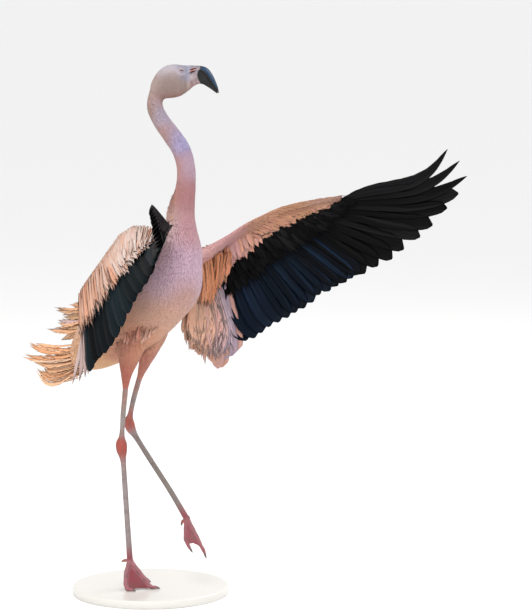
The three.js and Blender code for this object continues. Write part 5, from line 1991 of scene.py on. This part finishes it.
def leg_detail(side, made):
    """Presses plates and folds into the skin, and paints it by place."""
    points = mesh_points(made.data)
    places = np.linspace(5, 14, 900)
    line = along(LEGS[side], places)
    lengths = np.r_[0, np.cumsum(np.linalg.norm(np.diff(line[:, :3], axis=0), axis=1))]
    nearest = nearest_to(points, line)
    place, run = places[nearest], lengths[nearest]
    outward = points - line[nearest, :3]
    apart = np.linalg.norm(outward, axis=1)
    on_leg = ramp(2.0, 1.4, apart / line[nearest, 3]) * ramp(13.9, 13.4, place)
    front = ramp(-0.1, 0.6, unit(outward) @ np.array([0.5, -0.85, 0]))
    step = (run / PLATE["length"]) % 1
    plate = -PLATE["groove"] * np.exp(-((np.minimum(step, 1 - step) / 0.13) ** 2)) + PLATE["slope"] * step
    middle, half = JOINTS[side]
    joint = np.exp(-(((place - middle) / half) ** 4))
    fold = np.sin(run * 2300 + 2.6 * np.sin(points[:, 0] * 600 + points[:, 1] * 450))
    depth = on_leg * (front * plate * (1 - joint) + joint * FOLD_DEPTH * fold)
    set_points(made.data, points + unit(outward) * depth[:, None])
    foot = 1 - ramp(1.9, 1.3, apart / line[nearest, 3]) * ramp(14, 13.3, place)
    foot = foot * (place > 12)
    toe, hind = toe_shares(side, points, foot)
    planted = side == "right"
    colour = plain(len(points), "8d8480")
    for share, code in (
        (ramp(middle + 0.6, middle + 2, place) * 0.8, "8e8082"),
        (ramp(7.2, 6.2, place) * 0.7, "a4756c"),
        # Painted shade: the lower tarsus of the lifted leg is darker olive.
        (ramp(middle + 1.2, middle + 3.4, place) * (0 if planted else 0.6), "645c50"),
        (joint, "a8382c" if planted else "b4554a"),
        # Painted light on the crests of the joint's folds, and painted shade in their creases below.
        (joint * (0.5 + 0.5 * fold) * 0.4, "c4705e"),
        (joint * (0.5 - 0.5 * fold) ** 3 * 0.6, "5e2c28"),
        (foot, "86323e"),
        (foot * toe * (0.65 if planted else 0.35), "a8727a"),
        (hind, "bd5c3c"),
    ):
        colour = paint(colour, share, code)
    set_attribute(made.data, "marking", colour)
    smooth_shade(made)


for side, made in leg_skins.items():
    leg_detail(side, made)
print("plates and folds pressed into", len(leg_skins), "legs")

# %% [markdown]
# The net of small scales is a Voronoi pattern whose cell borders are darker and lower. The claws are plain
# dark horn.

# %% Finish of the legs
def scale_recipe(tree):
    settings = {"feature": "DISTANCE_TO_EDGE"}
    net = tree.node("ShaderNodeTexVoronoi", settings, {"Vector": own_place(tree), "Scale": 420})
    groove = net.ramp(0.0, 0.08)
    blotches = noise(tree, 90, 4).ramp(0.4, 0.75) * 0.5
    colour = tree.mix(blotches, named(tree, "marking", "Color"), rgb("5f4c46"))
    colour = tree.mix(groove, tree.mix(0.35, colour, rgb("4a3634")), colour)
    return {"Base Color": colour, "height": groove + noise(tree, 1600) * 0.3}


scale_look = finish("scaly skin", scale_recipe, bump=0.35, bump_reach=0.0005, Roughness=0.5)
claw_look = finish("claws", lambda tree: {
    "Base Color": tree.mix(noise(tree, 300), rgb("4a3c38"), rgb("6b5a54")),
}, Roughness=0.35)
for made in leg_skins.values():
    dress(made, scale_look)
dress(claws, claw_look)
print("legs finished")

# %% [markdown]
# The base is a plain disc of wood under white satin lacquer, turned on a lathe: a small step at the foot, a
# straight side and a rounded upper rim.

# %% Base
BASE_SIDES = 180
RIM = 0.0032  # radius of the rounded edge
profile = [(0.1685, 0.0), (0.17, 0.0012), (0.17, 0.0148)]
profile += [(0.1668 + RIM * math.cos(a), 0.0148 + RIM * math.sin(a)) for a in np.linspace(0.2, 1.57, 8)]
turns = circle(BASE_SIDES)
rings = [[(r * math.cos(t), r * math.sin(t), z) for t in turns] for r, z in profile]
base = tube("base_disc", rings)
for face in base.data.polygons:
    face.use_smooth = abs(face.normal.z) < 0.98
dress(base, finish("white lacquer", lambda tree: {
    "Base Color": tree.mix(noise(tree, 14) * 0.25, rgb("dcdad5"), rgb("d2cfc9")),
    "height": noise(tree, 90, 2),
}, bump=0.03, bump_reach=0.0005, Roughness=0.34, Coat_Weight=0.2))
print("base:", triangles(base), "triangles")

# %% [markdown]
# A plain pale floor and soft studio light. The floor is so wide that no horizon shows from the camera, which
# looks slightly down. It is flat, so that the model can be seen from behind too. One broad lamp stands high
# in front, and the bright surroundings keep the shadows open.

# %% Floor and light
FLOOR_HALF = 150.0
corners = [(x * FLOOR_HALF, y * FLOOR_HALF, 0) for x, y in ((-1, -1), (1, -1), (1, 1), (-1, 1))]
floor = make_object("floor", corners, [(0, 1, 2, 3)])
floor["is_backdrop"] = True
dress(floor, finish("pale floor", lambda tree: {
    "Base Color": tree.mix(noise(tree, 2) * 0.05, rgb("fafafa"), rgb("f4f4f4")),
}, Roughness=0.9, Specular_IOR_Level=0.1))

world = bpy.data.worlds.new("studio")
scene.world = world
world.use_nodes = True
background = world.node_tree.nodes["Background"]
background.inputs["Color"].default_value = (1, 1, 1, 1)
background.inputs["Strength"].default_value = 0.93


def lamp(name, place, aim, size, power, colour):
    """A round area lamp that points at its aim."""
    light = bpy.data.lights.new(name, "AREA")
    light.shape, light.size, light.energy, light.color = "DISK", size, power, colour
    made = link_object(name, light)
    made.location = place
    made.rotation_euler = (Vector(aim) - Vector(place)).to_track_quat("-Z", "Y").to_euler()


lamp("key", (-0.6, -3.2, 3.4), (0, 0, 0.7), 2.0, 98, (1.0, 0.98, 0.95))
lamp("rim", (2.4, 2.0, 3.0), (0.1, 0, 0.7), 1.8, 60, (1.0, 1.0, 1.0))
scene.view_settings.view_transform = "Standard"
print("lights: 2 lamps")

# %% [markdown]
# At the end every piece is attached to what it rides on, and the solids that it stands for are hidden. The
# model has no joints, so all ride on the one body, root.

# %% Attach the pieces
STANDS_FOR = [
    (skin, "body_feathers", ["torso", "neck_lower", "neck_upper", "head", "thigh_left", "thigh_right"]),
    (pieces[0], "flight_feathers", ["wing_left", "wing_right"]),
    (pieces[-1], "tail_feathers", ["tail"]),
    (upper, "bill", ["bill_upper"]),
    (lower, "bill", ["bill_lower"]),
    (balls[0], "eye", ["eye_left"]),
    (balls[1], "eye", ["eye_right"]),
    (leg_skins["right"], "leg_skin", ["shank_right", "ankle_right", "tarsus_right", "foot_right"]),
    (leg_skins["left"], "leg_skin", ["shank_left", "ankle_left", "tarsus_left", "foot_left"]),
    (base, "stand", ["stand_base"]),
]
for piece, slot, nodes in STANDS_FOR:
    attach(piece, "root")
    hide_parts(*nodes)
others = {"body_feathers": coats, "flight_feathers": pieces[1:-1], "bill": [claws], "joint_skin": [lids]}
for slot, made in others.items():
    for piece in made:
        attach(piece, "root")
low, high_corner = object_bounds()
total = sum(triangles(o) for o in scene.objects if o.type == "MESH" and not o.hide_render)
print("whole model:", total, "triangles")
